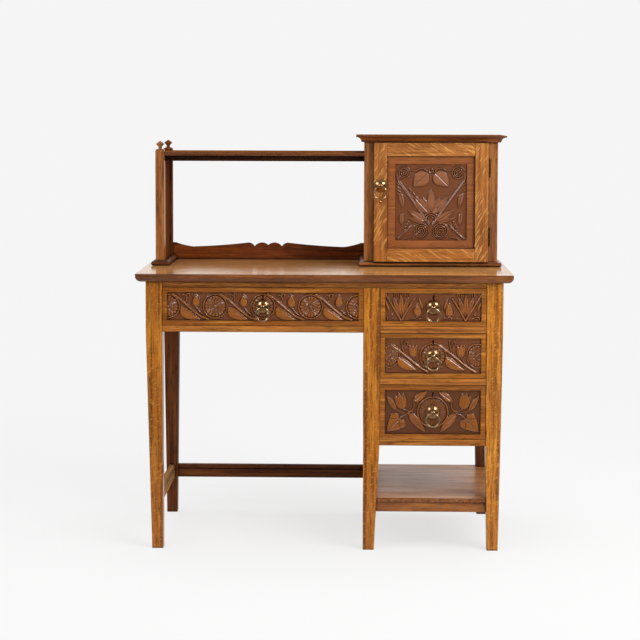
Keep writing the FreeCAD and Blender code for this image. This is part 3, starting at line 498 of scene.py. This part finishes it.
# Painted shade: the kneehole drawer's front is darker for the shade under the desktop's overhang
FRONT_TONES = ("#8E4E12", "#A46018", "#985A18", "#90521A")
for drawer, tone in zip(DRAWERS, FRONT_TONES):
    front_oak = {**RAIL_OAK, "name": f"waxed golden oak, {drawer} front", "body": tone}
    # Arrises darkened as dirt and as painted shade in the gaps round each drawer
    for board in boards(drawer + "_front", front_oak, dirt_and_shade=True):
        darkened(board, *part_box(drawer + "_front"))
    low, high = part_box(drawer + "_box")
    for board in boards(drawer + "_box", DRAWER_DEAL, ease=DEAL_EASE, grain=0):
        board.data.materials.append(oak(DRAWER_DEAL, 1))
        for face in board.data.polygons:
            if min(face.center.x - low.x, high.x - face.center.x) < DRAWER_SIDE:
                face.material_index = 2

# Carved fields: the ground cut back with gouges and punched all over, the pattern left standing.
# Stain lies dark in the ground, shade is painted darker still in its hollows and corners, and hands have
# rubbed the standing wood bright.
# Its sizes are in millimetres, measured from the middle of each field
CARVING_STEP = 0.7
FIELD_BORDER = 13.0
FIELD_SINK = 4.5
DOOR_PANEL_MARGIN = 31.0
DOOR_FIELD_SINK = 4.0
CUT_GROUND = 0.2
FULL_RELIEF, FULL_HOLLOW_SHADE = 3.6, 2.0
PUNCH_SIZE = 2.6 * MM
CARVED_GROUND = "#6C3E24"
BOTTOM_GROUND = "#5C3620"
CARVED_PUNCH_AND_SHADE = "#1C0C06"
CARVED_TOP = "#824A1C"
CARVED_RUBBED = "#925822"
BOTTOM_TOP = "#7E4816"
DOOR_TOP = "#74472C"
DOOR_RUBBED = "#8E5C3C"


def shoulder(depth):
    """The rounded shoulder of a standing form, from 0 at its outline to 1."""
    inside = np.clip(depth, 0, 1)
    return inside * (2 - inside)


def raised(depth, height):
    """A standing form with a steep rounded edge, whose face still swells towards its middle."""
    return height * (0.65 * shoulder(depth / 1.6) + 0.35 * shoulder(depth / 8))


def flowing(points, steps=8):
    """A smooth line through a few points."""
    ends = [points[0], *points, points[-1]]
    line = []
    for before, start, end, after in zip(ends, ends[1:], ends[2:], ends[3:]):
        for step in range(steps):
            t = step / steps
            point = []
            for a, b, c, d in zip(before, start, end, after):
                bend, twist = 2 * a - 5 * b + 4 * c - d, 3 * b - a - 3 * c + d
                point.append((2 * b + (c - a) * t + bend * t**2 + twist * t**3) / 2)
            line.append(point)
    return [*line, points[-1]]


def stem(u, v, points, width=4.2, height=3.6, groove=0.0):
    """A round stem along a line through the points, or a strap with a groove cut along it."""
    line = flowing(points)
    away = np.full(u.shape, np.inf)
    for (start_u, start_v), (end_u, end_v) in zip(line, line[1:]):
        run_u, run_v = end_u - start_u, end_v - start_v
        t = np.clip(((u - start_u) * run_u + (v - start_v) * run_v) / (run_u**2 + run_v**2), 0, 1)
        away = np.minimum(away, np.hypot(u - start_u - t * run_u, v - start_v - t * run_v))
    top = height * np.sqrt(np.clip(1 - (2 * away / width) ** 2, 0, 1))
    return np.clip(top - groove * np.exp(-(away**2)), 0, None)


def blade_frame(u, v, base, tip):
    """Where a point lies along and across a line from base to tip."""
    run_u, run_v = tip[0] - base[0], tip[1] - base[1]
    length = math.hypot(run_u, run_v)
    along = ((u - base[0]) * run_u + (v - base[1]) * run_v) / length**2
    across = ((v - base[1]) * run_u - (u - base[0]) * run_v) / length
    return along, across


def blade(u, v, base, tip, width, height=3.8, fullness=0.6, vein=1.3, belly=0.5):
    """A pointed leaf from base to tip, with a vein cut along it. The belly is the right side's share."""
    along, across = blade_frame(u, v, base, tip)
    inner = np.clip(along, 0, 1)
    widest = fullness / (fullness + 1)
    spread = width * (inner / widest) ** fullness * (1 - inner) / (1 - widest)
    depth = np.minimum((1 - belly) * spread - across, belly * spread + across)
    depth = np.where((along > 0) & (along < 1), depth, -1)
    return np.where(depth > 0, raised(depth, height) - vein * np.exp(-((across / 1.1) ** 2)), 0)


def bud(u, v, base, tip, width):
    """A pointed bud: a full petal standing in an outer sheath."""
    sheath = blade(u, v, base, tip, width, 2.8, 0.5, 0)
    start = [b + (t - b) * 0.07 for b, t in zip(base, tip)]
    end = [t - (t - b) * 0.12 for b, t in zip(base, tip)]
    groove = blade(u, v, start, end, width * 0.88, 1.0, 0.5, 0)
    petal = blade(u, v, start, end, width * 0.78, 4.2, 0.5, 0)
    return np.maximum(np.where(groove > 0, 0.8, sheath), petal)


def tulip(u, v, base, tip, width):
    """A bud of three pointed petals on a round cup."""
    reach = math.hypot(tip[0] - base[0], tip[1] - base[1])
    heading = math.atan2(tip[1] - base[1], tip[0] - base[0])
    relief = np.zeros(u.shape)
    for lean, share, height in ((0.3, 0.92, 3.2), (-0.3, 0.92, 3.2), (0.0, 1.0, 4.2)):
        turned = heading + lean
        end = [base[0] + share * reach * math.cos(turned), base[1] + share * reach * math.sin(turned)]
        relief = np.maximum(relief, blade(u, v, base, end, width * 0.5, height, 0.55, 0.9))
    return relief


def hoop(u, v, centre, radius, width=4.2, height=3.8):
    """A round ring, its outer edge at the radius."""
    off = np.hypot(u - centre[0], v - centre[1]) - radius + width / 2
    return height * np.sqrt(np.clip(1 - (2 * off / width) ** 2, 0, 1))


def bead(u, v, centre, radius):
    """A round bead."""
    return radius * np.sqrt(np.clip(1 - ((u - centre[0]) ** 2 + (v - centre[1]) ** 2) / radius**2, 0, 1))


def rosette(u, v, centre, radius, petals=18, height=2.8):
    """A daisy in a ring: two rows of petals, each scooped towards its tip, round a small eye."""
    away = np.hypot(u - centre[0], v - centre[1])
    turn = petals * np.arctan2(v - centre[1], u - centre[0]) / 2
    relief = hoop(u, v, centre, radius, 4, 3.2)
    for foot, reach, lobe in ((0.4, 0.84, np.abs(np.cos(turn))), (0.1, 0.48, np.abs(np.sin(turn)))):
        along = np.clip((away / radius - foot) / (reach - foot), 0, 1)
        petal = shoulder((radius * (reach - 0.08 + 0.08 * lobe) - away) / 1.2) * (away > foot * radius)
        relief = np.maximum(relief, petal * height * (0.55 + 0.45 * along) * (0.15 + 0.85 * lobe**0.6))
    return np.maximum(relief, bead(u, v, centre, 0.13 * radius))


def fluted_ring(u, v, centre, radius, flutes=30, height=1.9):
    """A ring with a band of flutes inside it, cut towards its middle."""
    away = np.hypot(u - centre[0], v - centre[1])
    lobe = np.abs(np.cos(flutes * np.arctan2(v - centre[1], u - centre[0]) / 2))
    band = raised(radius - 6.5 - away, height)
    return np.maximum(hoop(u, v, centre, radius, 5, 3.4), band * (0.5 + 0.5 * lobe))


def whorl(u, v, centre, radius, pitch, hand, height):
    """A flat coil of stem, wound one way or the other."""
    away = np.hypot(u - centre[0], v - centre[1])
    turn = np.arctan2(v - centre[1], u - centre[0])
    ridge = 0.5 - 0.5 * np.cos(2 * math.pi * (away / pitch - hand * turn / (2 * math.pi)))
    return height * shoulder((radius - away) / 1.5) * (0.15 + 0.85 * ridge)


def heart(u, v, notch, tip, width, height=4.0):
    """A heart-shaped leaf hung from its notch, with veins spreading from there."""
    along, across = blade_frame(u, v, notch, tip)
    length = math.hypot(tip[0] - notch[0], tip[1] - notch[1])
    lobe = width / 4
    depth = width / 2 * (1 - np.clip((along - 0.1) / 0.9, 0, 1) ** 1.5) - np.abs(across)
    depth = np.where((along > 0.1) & (along < 1), depth, -1)
    for side in (-1, 1):
        depth = np.maximum(depth, lobe - np.hypot(along * length - 0.1 * length, across - side * lobe))
    turn = np.arctan2(across, along * length)
    veins = np.exp(-((np.sin(3.5 * turn) * np.hypot(across, along * length) / 3.6) ** 2))
    return np.where(depth > 0, raised(depth, height) - 1.7 * veins * (along > 0.05), 0)


def standing(u, *forms):
    """The highest of the forms at each point."""
    relief = np.zeros(u.shape)
    for form in forms:
        relief = np.maximum(relief, form)
    return relief


def long_field(u, v):
    """Five daisies in rings along the field, with a stem, a bud, a leaf and a curl between each two."""
    pitch, radius = 128.0, 34.0
    forms = [rosette(u, v, (place * pitch, 0), radius) for place in range(-2, 3)]
    for place in range(-2, 2):
        w = u - place * pitch
        forms += [
            stem(w, v, [(14, 33), (36, 17), (62, -6), (88, -26), (110, -35)], 6, 4.2),
            bud(w, v, (77, -2), (76, 35), 26),
            stem(w, v, [(77, -2), (86, -14), (95, -22)], 3, 3),
            blade(w, v, (37, -2), (89, -36), 27, 3.6, 0.5, 1.3, 0.78),
            stem(w, v, [(45, 9), (52, 18), (50, 27), (43, 32), (40, 28)], 3.6, 3.4),
            stem(w, v, [(50, 27), (52, 33), (57, 34), (59, 29)], 3.6, 3.4),
        ]
    return standing(u, *forms)


def fan_field(u, v):
    """A fan of petals in straight straps to each side, with a fringe above it, a bud and a curl."""
    forms = []
    for side in (-1, 1):
        w = u * side
        forms += [
            stem(w, v, [(85, -35), (68, -5), (50, 24)], 5, 4.2),
            stem(w, v, [(87, -35), (106, -3), (128, 34)], 5, 4.2),
            blade(w, v, (86, -31), (87, 33), 15, 3.8, 1.4),
            blade(w, v, (84, -29), (67, 28), 13, 3.4, 1.4),
            blade(w, v, (88, -29), (108, 28), 13, 3.4, 1.4),
            bud(w, v, (43, -25), (41, 13), 27),
            stem(w, v, [(43, -25), (50, -31), (62, -31)], 3, 3),
            stem(w, v, [(43, -25), (36, -31), (27, -28)], 3, 3),
            blade(w, v, (41, 27), (26, -9), 8, 3.8, 1.0, 0),
            blade(w, v, (128, 17), (117, -12), 8, 3.8, 1.0, 0),
            bead(w, v, (111, -20), 3.6),
            stem(w, v, [(105, -31), (113, -26), (122, -28), (124, -35)], 3.2, 3.2),
        ]
        for cut in range(10):
            forms.append(blade(w, v, (64 + 5 * cut, 37), (64 + 5 * cut, 25), 4.6, 3.2, 0.5, 0))
    return standing(u, *forms)


def sprig_field(u, v):
    """A daisy in the middle and a part of one at each end, with leafy sprigs slanting between them."""
    forms = [rosette(u, v, (0, -2), 37)]
    for end in (-1, 1):
        forms.append(0.85 * rosette((u - end * 117) * 1.2, v, (0, 0), 34, 18))
    for start in (-112, 16):
        w = u - start
        forms += [
            stem(w, v, [(0, 27), (21, 13), (49, -9), (77, -31), (98, -44)], 6.4, 4.2),
            blade(w, v, (20, -3), (70, -39), 27, 3.6, 0.5, 1.3, 0.78),
            tulip(w, v, (58, -4), (58, 33), 29),
            stem(w, v, [(58, -4), (66, -15), (74, -26)], 3, 3),
            stem(w, v, [(34, 6), (29, 24), (27, 38), (32, 43)], 3.4, 3.4),
            stem(w, v, [(31, 16), (42, 25), (43, 36), (36, 37), (35, 31)], 3.4, 3.4),
        ]
    return standing(u, *forms)


def leaf_field(u, v):
    """A fluted ring in the middle with leaves round it, heart-shaped leaves below and buds above."""
    forms = [fluted_ring(u, v, (0, 0), 43)]
    for side in (-1, 1):
        w = u * side
        forms += [
            blade(w, v, (51, 29), (14, 57), 20),
            blade(w, v, (62, -4), (18, -57), 23),
            stem(w, v, [(52, 30), (50, 16), (58, 2), (76, -8), (92, -22)], 3.8),
            hoop(w, v, (60, -2), 7, 3.4, 3.2),
            heart(w, v, (90, -20), (124, -54), 50),
            tulip(w, v, (80, 9), (93, 54), 40),
            stem(w, v, [(80, 9), (72, 4), (62, 2)], 3.2),
            blade(w, v, (98, 5), (125, 46), 16),
            stem(w, v, [(98, 5), (88, 1), (74, -2)], 3, 3),
        ]
    return standing(u, *forms)


def door_field(u, v):
    """Coiled straps running down from the upper corners to a tulip's foot, with coils, leaves and
    beads filling the ground round it."""
    forms = [
        hoop(u, v, (0, 88), 8, 3.6, 3.2),
        blade(u, v, (0, -26), (0, 40), 23, 3.7, 0.8, 0),
    ]
    for radius in (9, 15, 21):
        forms.append(np.where(v > -47, hoop(u, v, (0, -47), radius, 4, 3), 0))
    for side in (-1, 1):
        w = u * side
        forms += [
            whorl(w, v, (75, 82), 19, 5.4, -1, 3.5),
            stem(w, v, [(95, 80), (93, 66), (86, 53), (46, -2), (5, -60)], 7, 3.7, 1.6),
            stem(w, v, [(56, 90), (44, 88), (34, 93), (22, 95), (11, 87)], 4, 3.4),
            blade(w, v, (10, 82), (50, 44), 44, 3.6),
            blade(w, v, (2, -32), (46, 14), 30, 3.2, 0.9),
            blade(w, v, (4, -30), (24, 16), 17, 2.8, 0.9, 0),
            whorl(w, v, (28, -79), 23, 5.4, 1, 3.5),
            blade(w, v, (86, 26), (76, -18), 16, 3.7),
            blade(w, v, (82, -30), (81, -68), 15, 3.7),
            blade(w, v, (17, -52), (66, -20), 22, 3.4),
            blade(w, v, (20, -56), (68, -42), 13, 3.4),
            stem(w, v, [(52, -62), (68, -80), (92, -101)], 4.4, 3.4),
            stem(w, v, [(52, -96), (66, -99), (80, -104)], 3.6, 3.2),
        ]
        for step in range(4):
            forms.append(bead(w, v, (64 + 3 * step, -54 - 8 * step), 3.2))
            forms.append(blade(w, v, (99, 54 - 9 * step), (84, 46 - 9 * step), 5, 2.8, 0.6, 0))
            across, up = 62 - 9 * step, 40 - 11 * step
            forms.append(blade(w, v, (across, up), (across - 10, up - 10), 5, 2.6, 0.6, 0))
    return standing(u, *forms)


def carved_oak(name, ground, top, rubbed):
    """Carved oak: dark stain in the punched ground with painted shade in its hollows and corners, rubbed
    golden wood where the pattern stands.
    """
    made = bpy.data.materials.new(name)
    made.use_nodes = True
    tree = made.node_tree
    shader = tree.nodes["Principled BSDF"]
    height = add_node(tree, "Attribute", attribute_name="relief").outputs["Fac"]
    hollow_shade = add_node(tree, "Attribute", attribute_name="hollow_shade").outputs["Fac"]
    grain = drawn_out(tree, RING_WIDTH, RING_LENGTH / 3, 0, 3.0)
    punched = drawn_out(tree, PUNCH_SIZE, PUNCH_SIZE, 0, 1.0)
    # Painted shade: darker near the standing forms and deepest in the hollows
    corner = add_node(tree, "AmbientOcclusion", {"Distance": 6 * MM}, samples=6).outputs["AO"]
    colour = stained(tree, linear(ground), punched, 0.5, 0.65, CARVED_PUNCH_AND_SHADE, 0.3)
    colour = stained(tree, colour, height, 0.3, 0.75, top, 1.0)
    colour = stained(tree, colour, height, 0.85, 1.0, rubbed, 0.6)
    colour = stained(tree, colour, grain, 0.48, 0.68, ground, 0.6)
    colour = stained(tree, colour, corner, 0.9, 0.3, CARVED_PUNCH_AND_SHADE, 0.7)
    colour = stained(tree, colour, hollow_shade, 0.04, 0.4, CARVED_PUNCH_AND_SHADE, 0.95)
    tree.links.new(colour, shader.inputs["Base Color"])
    shader.inputs["Roughness"].default_value = 0.2
    relief = add_node(tree, "Bump", {"Height": punched, "Strength": 0.25, "Distance": 0.4 * MM})
    tree.links.new(relief.outputs[0], shader.inputs["Normal"])
    return made


CARVED_DRAWER = carved_oak("carved oak, drawers", CARVED_GROUND, CARVED_TOP, CARVED_RUBBED)
CARVED_BOTTOM = carved_oak("carved oak, bottom drawer", BOTTOM_GROUND, BOTTOM_TOP, CARVED_TOP)
CARVED_DOOR = carved_oak("carved oak, door", CARVED_GROUND, DOOR_TOP, DOOR_RUBBED)


def painted_shade_depth(relief, columns):
    """How far each point lies below the wood round it, the depth at which shade is painted into the
    hollows.
    """
    reach = 3
    grid = relief.reshape(-1, columns)
    padded = np.pad(grid, reach, mode="edge")
    rows, width = grid.shape
    span = range(-reach, reach + 1)
    steps = [
        (down + reach, across + reach)
        for down in span
        for across in span
        if math.hypot(down, across) <= reach
    ]
    near = sum(padded[down : down + rows, across : across + width] for down, across in steps) / len(steps)
    return np.clip(near - grid, 0, None).ravel()


def carve(name, body, low, high, ground, pattern, finish, key=None):
    """Carve a field between two corners, in millimetres, and pierce it round the keyhole."""
    width, height = high[0] - low[0], high[1] - low[1]
    bpy.ops.object.select_all(action="DESELECT")
    bpy.ops.mesh.primitive_grid_add(
        x_subdivisions=round(width / CARVING_STEP),
        y_subdivisions=round(height / CARVING_STEP),
        size=1,
    )
    piece = bpy.context.object
    piece.name = name
    places = np.zeros(3 * len(piece.data.vertices))
    piece.data.vertices.foreach_get("co", places)
    u, v = places[0::3] * width, places[1::3] * height
    relief = pattern(u, v)
    rim = np.minimum(width / 2 - np.abs(u), height / 2 - np.abs(v))
    relief = (relief + CUT_GROUND) * np.clip(rim / 0.4, 0, 1)
    places[0::3] = low[0] + width / 2 + u
    places[1::3] = ground - relief
    places[2::3] = low[1] + height / 2 + v
    piece.data.vertices.foreach_set("co", places * MM)
    columns = int(np.count_nonzero(v == v[0]))
    # The hollows' depth, painted as shade
    hollow_shade = painted_shade_depth(relief, columns)
    shades = {"relief": np.clip(relief / FULL_RELIEF, 0, 1), "hollow_shade": np.clip(hollow_shade / FULL_HOLLOW_SHADE, 0, 1)}
    for shade, values in shades.items():
        piece.data.attributes.new(shade, "FLOAT", "POINT").data.foreach_set("value", values)
    if key is not None:
        bpy.ops.object.mode_set(mode="EDIT")
        bpy.ops.mesh.select_all(action="DESELECT")
        bpy.ops.mesh.select_mode(type="VERT")
        bpy.ops.object.mode_set(mode="OBJECT")
        slot_half, round_radius, slot_length = key[2:]
        across, below = u + low[0] + width / 2 - key[0], key[1] - (v + low[1] + height / 2)
        in_slot = (np.abs(across) < slot_half) & (below > 0) & (below < slot_length)
        hole = in_slot | (np.hypot(across, below) < round_radius)
        piece.data.vertices.foreach_set("select", hole)
        bpy.ops.object.mode_set(mode="EDIT")
        bpy.ops.mesh.delete(type="VERT")
        bpy.ops.object.mode_set(mode="OBJECT")
    piece.data.materials.append(finish)
    bpy.ops.object.shade_smooth()
    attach(piece, body)
    return piece


KEY_BELOW_EDGE = 22.0
# Half the width of the keyhole's slot, the radius of its round end, and the slot's length
KEY_HOLE = (1.7, 2.8, 9.5)
FIELD_PATTERNS = (long_field, fan_field, sprig_field, leaf_field)
FIELD_FINISHES = (CARVED_DRAWER, CARVED_DRAWER, CARVED_DRAWER, CARVED_BOTTOM)
for drawer, pattern, finish in zip(DRAWERS, FIELD_PATTERNS, FIELD_FINISHES):
    low, high = [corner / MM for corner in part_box(drawer + "_front")]
    carve(
        drawer + "_carving",
        drawer,
        (low.x + FIELD_BORDER, low.z + FIELD_BORDER),
        (high.x - FIELD_BORDER, high.z - FIELD_BORDER),
        low.y + FIELD_SINK,
        pattern,
        finish,
        ((low.x + high.x) / 2, high.z - KEY_BELOW_EDGE, *KEY_HOLE),
    )
low, high = [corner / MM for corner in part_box("door_panel")]
carve(
    "door_carving",
    "door",
    (low.x + DOOR_PANEL_MARGIN, low.z + DOOR_PANEL_MARGIN),
    (high.x - DOOR_PANEL_MARGIN, high.z - DOOR_PANEL_MARGIN),
    low.y + DOOR_FIELD_SINK,
    door_field,
    CARVED_DOOR,
)

# Ring pulls: cast brass, a domed plate with a pierced knob on a pin through the wood, and a ring
# of drawn wire hung in the knob. Lacquer and wax have browned the hollows.
TARNISH_SIZE = 6 * MM
BRASS_HOLLOW = "#2E1A0C"
BRASS_HOLLOW_REACH = 5 * MM


def brass(name, bright, worn, smooth, rough):
    """Aged brass: rubbed bright where it stands proud, brown in the corners."""
    made = bpy.data.materials.new(name)
    made.use_nodes = True
    tree = made.node_tree
    shader = tree.nodes["Principled BSDF"]
    tarnish = drawn_out(tree, TARNISH_SIZE, TARNISH_SIZE, 0, 3.0)
    corner = add_node(tree, "AmbientOcclusion", {"Distance": BRASS_HOLLOW_REACH}, samples=6).outputs["AO"]
    colour = stained(tree, linear(bright), tarnish, 0.4, 0.65, worn, 0.8)
    colour = stained(tree, colour, corner, 0.9, 0.3, BRASS_HOLLOW, 0.85)
    tree.links.new(colour, shader.inputs["Base Color"])
    shader.inputs["Metallic"].default_value = 1.0
    gloss = add_node(
        tree,
        "MapRange",
        {"Value": tarnish, "From Min": 0.3, "From Max": 0.7, "To Min": smooth, "To Max": rough},
    )
    tree.links.new(gloss.outputs[0], shader.inputs["Roughness"])
    return made


AGED_BRASS = brass("aged brass", "#AE865A", "#6E4A30", 0.18, 0.34)
RUBBED_BRASS = brass("aged brass, rubbed by fingers", "#CCAC82", "#7E5C3A", 0.24, 0.38)


def in_metal(node, metal):
    """Give a metal node its finish."""
    piece = frame["nodes"][node]
    piece.data.materials.clear()
    piece.data.materials.append(metal)


for piece in ("door", *DRAWERS):
    in_metal(piece + "_pull_boss", AGED_BRASS)
    in_metal(piece + "_pull_ring", RUBBED_BRASS)

# A pointed drop cast on the bottom of the door's ring
DROP_RADIUS, DROP_HALF = 2.7 * MM, 4.8 * MM
low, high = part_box("door_pull_ring")
bpy.ops.object.select_all(action="DESELECT")
bpy.ops.mesh.primitive_uv_sphere_add(segments=24, ring_count=14, radius=1)
drop = bpy.context.object
drop.name = "door_ring_drop"
middle = Vector(((low.x + high.x) / 2, (low.y + high.y) / 2, low.z + 1 * MM - DROP_HALF))
for point in drop.data.vertices:
    x, y, z = point.co
    full = DROP_RADIUS * (1 - 0.4 * z)
    point.co = middle + Vector((x * full, y * full, z * DROP_HALF))
drop.data.materials.append(AGED_BRASS)
bpy.ops.object.shade_smooth()
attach(drop, "door_ring")

# Butt hinges and drawer locks: brass leaves let into door and frame, and plain iron lock cases with
# brass bolts, screwed behind the fronts.
IRON_GREY, RUST = "#33302D", "#4A3022"
RUST_PATCH = 9 * MM


def iron():
    """Dull dark iron with a little rust in its patches."""
    made = bpy.data.materials.new("dull dark iron")
    made.use_nodes = True
    tree = made.node_tree
    shader = tree.nodes["Principled BSDF"]
    patches = drawn_out(tree, RUST_PATCH, RUST_PATCH, 0, 4.0)
    colour = stained(tree, linear(IRON_GREY), patches, 0.5, 0.7, RUST, 0.6)
    tree.links.new(colour, shader.inputs["Base Color"])
    shader.inputs["Metallic"].default_value = 0.85
    shader.inputs["Roughness"].default_value = 0.55
    return made


LOCK_IRON = iron()
DULL_BRASS = brass("dull brown brass", "#5E4224", "#3A2614", 0.45, 0.6)
for node in ("hinge_case_leaves", "hinge_door_leaves"):
    in_metal(node, DULL_BRASS)
in_metal("hinge_pins", LOCK_IRON)
for drawer in DRAWERS:
    in_metal(drawer + "_lock", LOCK_IRON)
    in_metal(drawer + "_lock_bolt", AGED_BRASS)

# Floor: a wide pale studio sweep that the desk stands on, not part of it, which fades into the white
# backdrop far off. The room's own floor in front of it is dark, as the polish shows.
BACKDROP = "#F5F5F5"
SWEEP_GLOW = "#F7F7F7"
PAPER = "#F2F2F2"
# Share of the sweep's own glow near the desk, where its shadow shows, and the glow's level far off
NEAR_GLOW, FAR_LEVEL = 0.74, 0.982
ROOM_LEVEL = 0.06
SHADOW_NEAR, SHADOW_FAR = 1.2, 4.0
SWEEP_FRONT, ROOM_FRONT = -0.3, -1.4
FLOOR_SIZE = 60.0
bpy.ops.object.select_all(action="DESELECT")
bpy.ops.mesh.primitive_plane_add(size=FLOOR_SIZE)
floor = bpy.context.object
floor.name = "studio_floor"
paper = bpy.data.materials.new("pale studio paper")
paper.use_nodes = True
tree = paper.node_tree
shader = tree.nodes["Principled BSDF"]
shader.inputs["Base Color"].default_value = linear(PAPER)
shader.inputs["Roughness"].default_value = 0.9
rays = add_node(tree, "LightPath")
spot = add_node(tree, "SeparateXYZ", {0: add_node(tree, "TexCoord").outputs["Object"]})
sweep = add_node(
    tree,
    "MapRange",
    {"Value": spot.outputs["Y"], "From Min": ROOM_FRONT, "From Max": SWEEP_FRONT, "To Min": ROOM_LEVEL},
)
apart = add_node(
    tree, "VectorMath", {0: add_node(tree, "TexCoord").outputs["Object"]}, operation="LENGTH"
).outputs["Value"]
reach = {"Value": apart, "From Min": SHADOW_NEAR, "From Max": SHADOW_FAR}
level = add_node(tree, "MapRange", {**reach, "To Min": 1.0, "To Max": FAR_LEVEL})
share = add_node(tree, "MapRange", {**reach, "To Min": NEAR_GLOW, "To Max": 1.0})
glow = add_node(tree, "Emission", {"Color": linear(SWEEP_GLOW), "Strength": level.outputs[0]})
mirrored = add_node(tree, "Emission", {"Color": linear(BACKDROP), "Strength": sweep.outputs[0]})
share = add_node(
    tree, "Math", {0: rays.outputs["Is Camera Ray"], 1: share.outputs[0]}, operation="MULTIPLY"
)
blend = add_node(tree, "MixShader", {0: share.outputs[0], 1: shader.outputs[0], 2: glow.outputs[0]})
shown = add_node(
    tree, "MixShader", {0: rays.outputs["Is Glossy Ray"], 1: blend.outputs[0], 2: mirrored.outputs[0]}
)
tree.links.new(shown.outputs[0], tree.nodes["Material Output"].inputs["Surface"])
floor.data.materials.append(paper)

# Light: two square boxes of light in front, the stronger to the right, with a small lamp over each,
# under a white ceiling. The backdrop behind the desk is white, and the room in front of it is dark.
BEAM = math.radians(100)
scene = bpy.context.scene
world = bpy.data.worlds.new("white studio")
world.use_nodes = True
scene.world = world
tree = world.node_tree
rays = add_node(tree, "LightPath")
heading = add_node(tree, "SeparateXYZ", {0: add_node(tree, "TexCoord").outputs["Generated"]})
ceiling = add_node(
    tree,
    "MapRange",
    {"Value": heading.outputs["Z"], "From Min": 0.5, "From Max": 1.0, "To Min": 0.04, "To Max": 2.0},
)
behind = add_node(
    tree,
    "MapRange",
    {"Value": heading.outputs["Y"], "From Min": -0.5, "From Max": 0.3, "To Min": 0.25, "To Max": 1.0},
)
seen = add_node(
    tree,
    "Math",
    {0: rays.outputs["Is Camera Ray"], 1: rays.outputs["Is Transmission Ray"]},
    operation="MAXIMUM",
)
room = add_node(tree, "Background", {"Color": linear("#FFFFFF"), "Strength": ceiling.outputs[0]})
mirrored = add_node(tree, "Background", {"Color": linear(BACKDROP), "Strength": behind.outputs[0]})
shown = add_node(tree, "Background", {"Color": linear(BACKDROP), "Strength": 1.0})
lit = add_node(
    tree, "MixShader", {0: rays.outputs["Is Glossy Ray"], 1: room.outputs[0], 2: mirrored.outputs[0]}
)
blend = add_node(tree, "MixShader", {0: seen.outputs[0], 1: lit.outputs[0], 2: shown.outputs[0]})
tree.links.new(blend.outputs[0], tree.nodes["World Output"].inputs["Surface"])


def softbox(name, place, target, size, power):
    """A square studio light, turned to a target and fitted with a grid that narrows its beam."""
    lamp = bpy.data.lights.new(name, "AREA")
    lamp.size = size
    lamp.energy = power
    lamp.spread = BEAM
    rig = bpy.data.objects.new(name, lamp)
    rig.location = place
    rig.rotation_euler = (Vector(target) - Vector(place)).to_track_quat("-Z", "Y").to_euler()
    scene.collection.objects.link(rig)
    return rig


# Flat polish would mirror boxes of this size as white sheets, so it sees two small lamps higher up
softbox("right_box", (2.2, -2.0, 1.95), (0.35, 0, 1.35), size=2.6, power=43).visible_glossy = False
softbox("left_box", (-2.3, -2.5, 1.95), (0, 0, 1.35), size=1.6, power=7).visible_glossy = False
softbox("right_glint", (2.2, -2.0, 2.6), (0.2, 0, 0.7), size=0.9, power=26).visible_diffuse = False
softbox("left_glint", (-2.2, -2.3, 2.6), (0, 0, 0.7), size=0.9, power=16).visible_diffuse = False

# Camera: just above the top of the cupboard, a little to the right of the desk's middle, and tipped
# down, about five metres in front of it.
PHOTO_SIDE = 640
PHOTO_FOCAL = 1815
camera = bpy.data.cameras.new("camera")
camera.sensor_width = 36
camera.lens = camera.sensor_width * PHOTO_FOCAL / PHOTO_SIDE
# The photograph's uprights are nearly parallel, as a lens shifted downwards leaves them
camera.shift_y = -0.1
eye = bpy.data.objects.new("camera", camera)
eye.location = (0.097, -5.068, 1.184)
eye.rotation_euler = (math.radians(90 - 4.567), math.radians(-0.156), math.radians(1.298))
scene.collection.objects.link(eye)
scene.camera = eye
scene.view_settings.view_transform = "Standard"
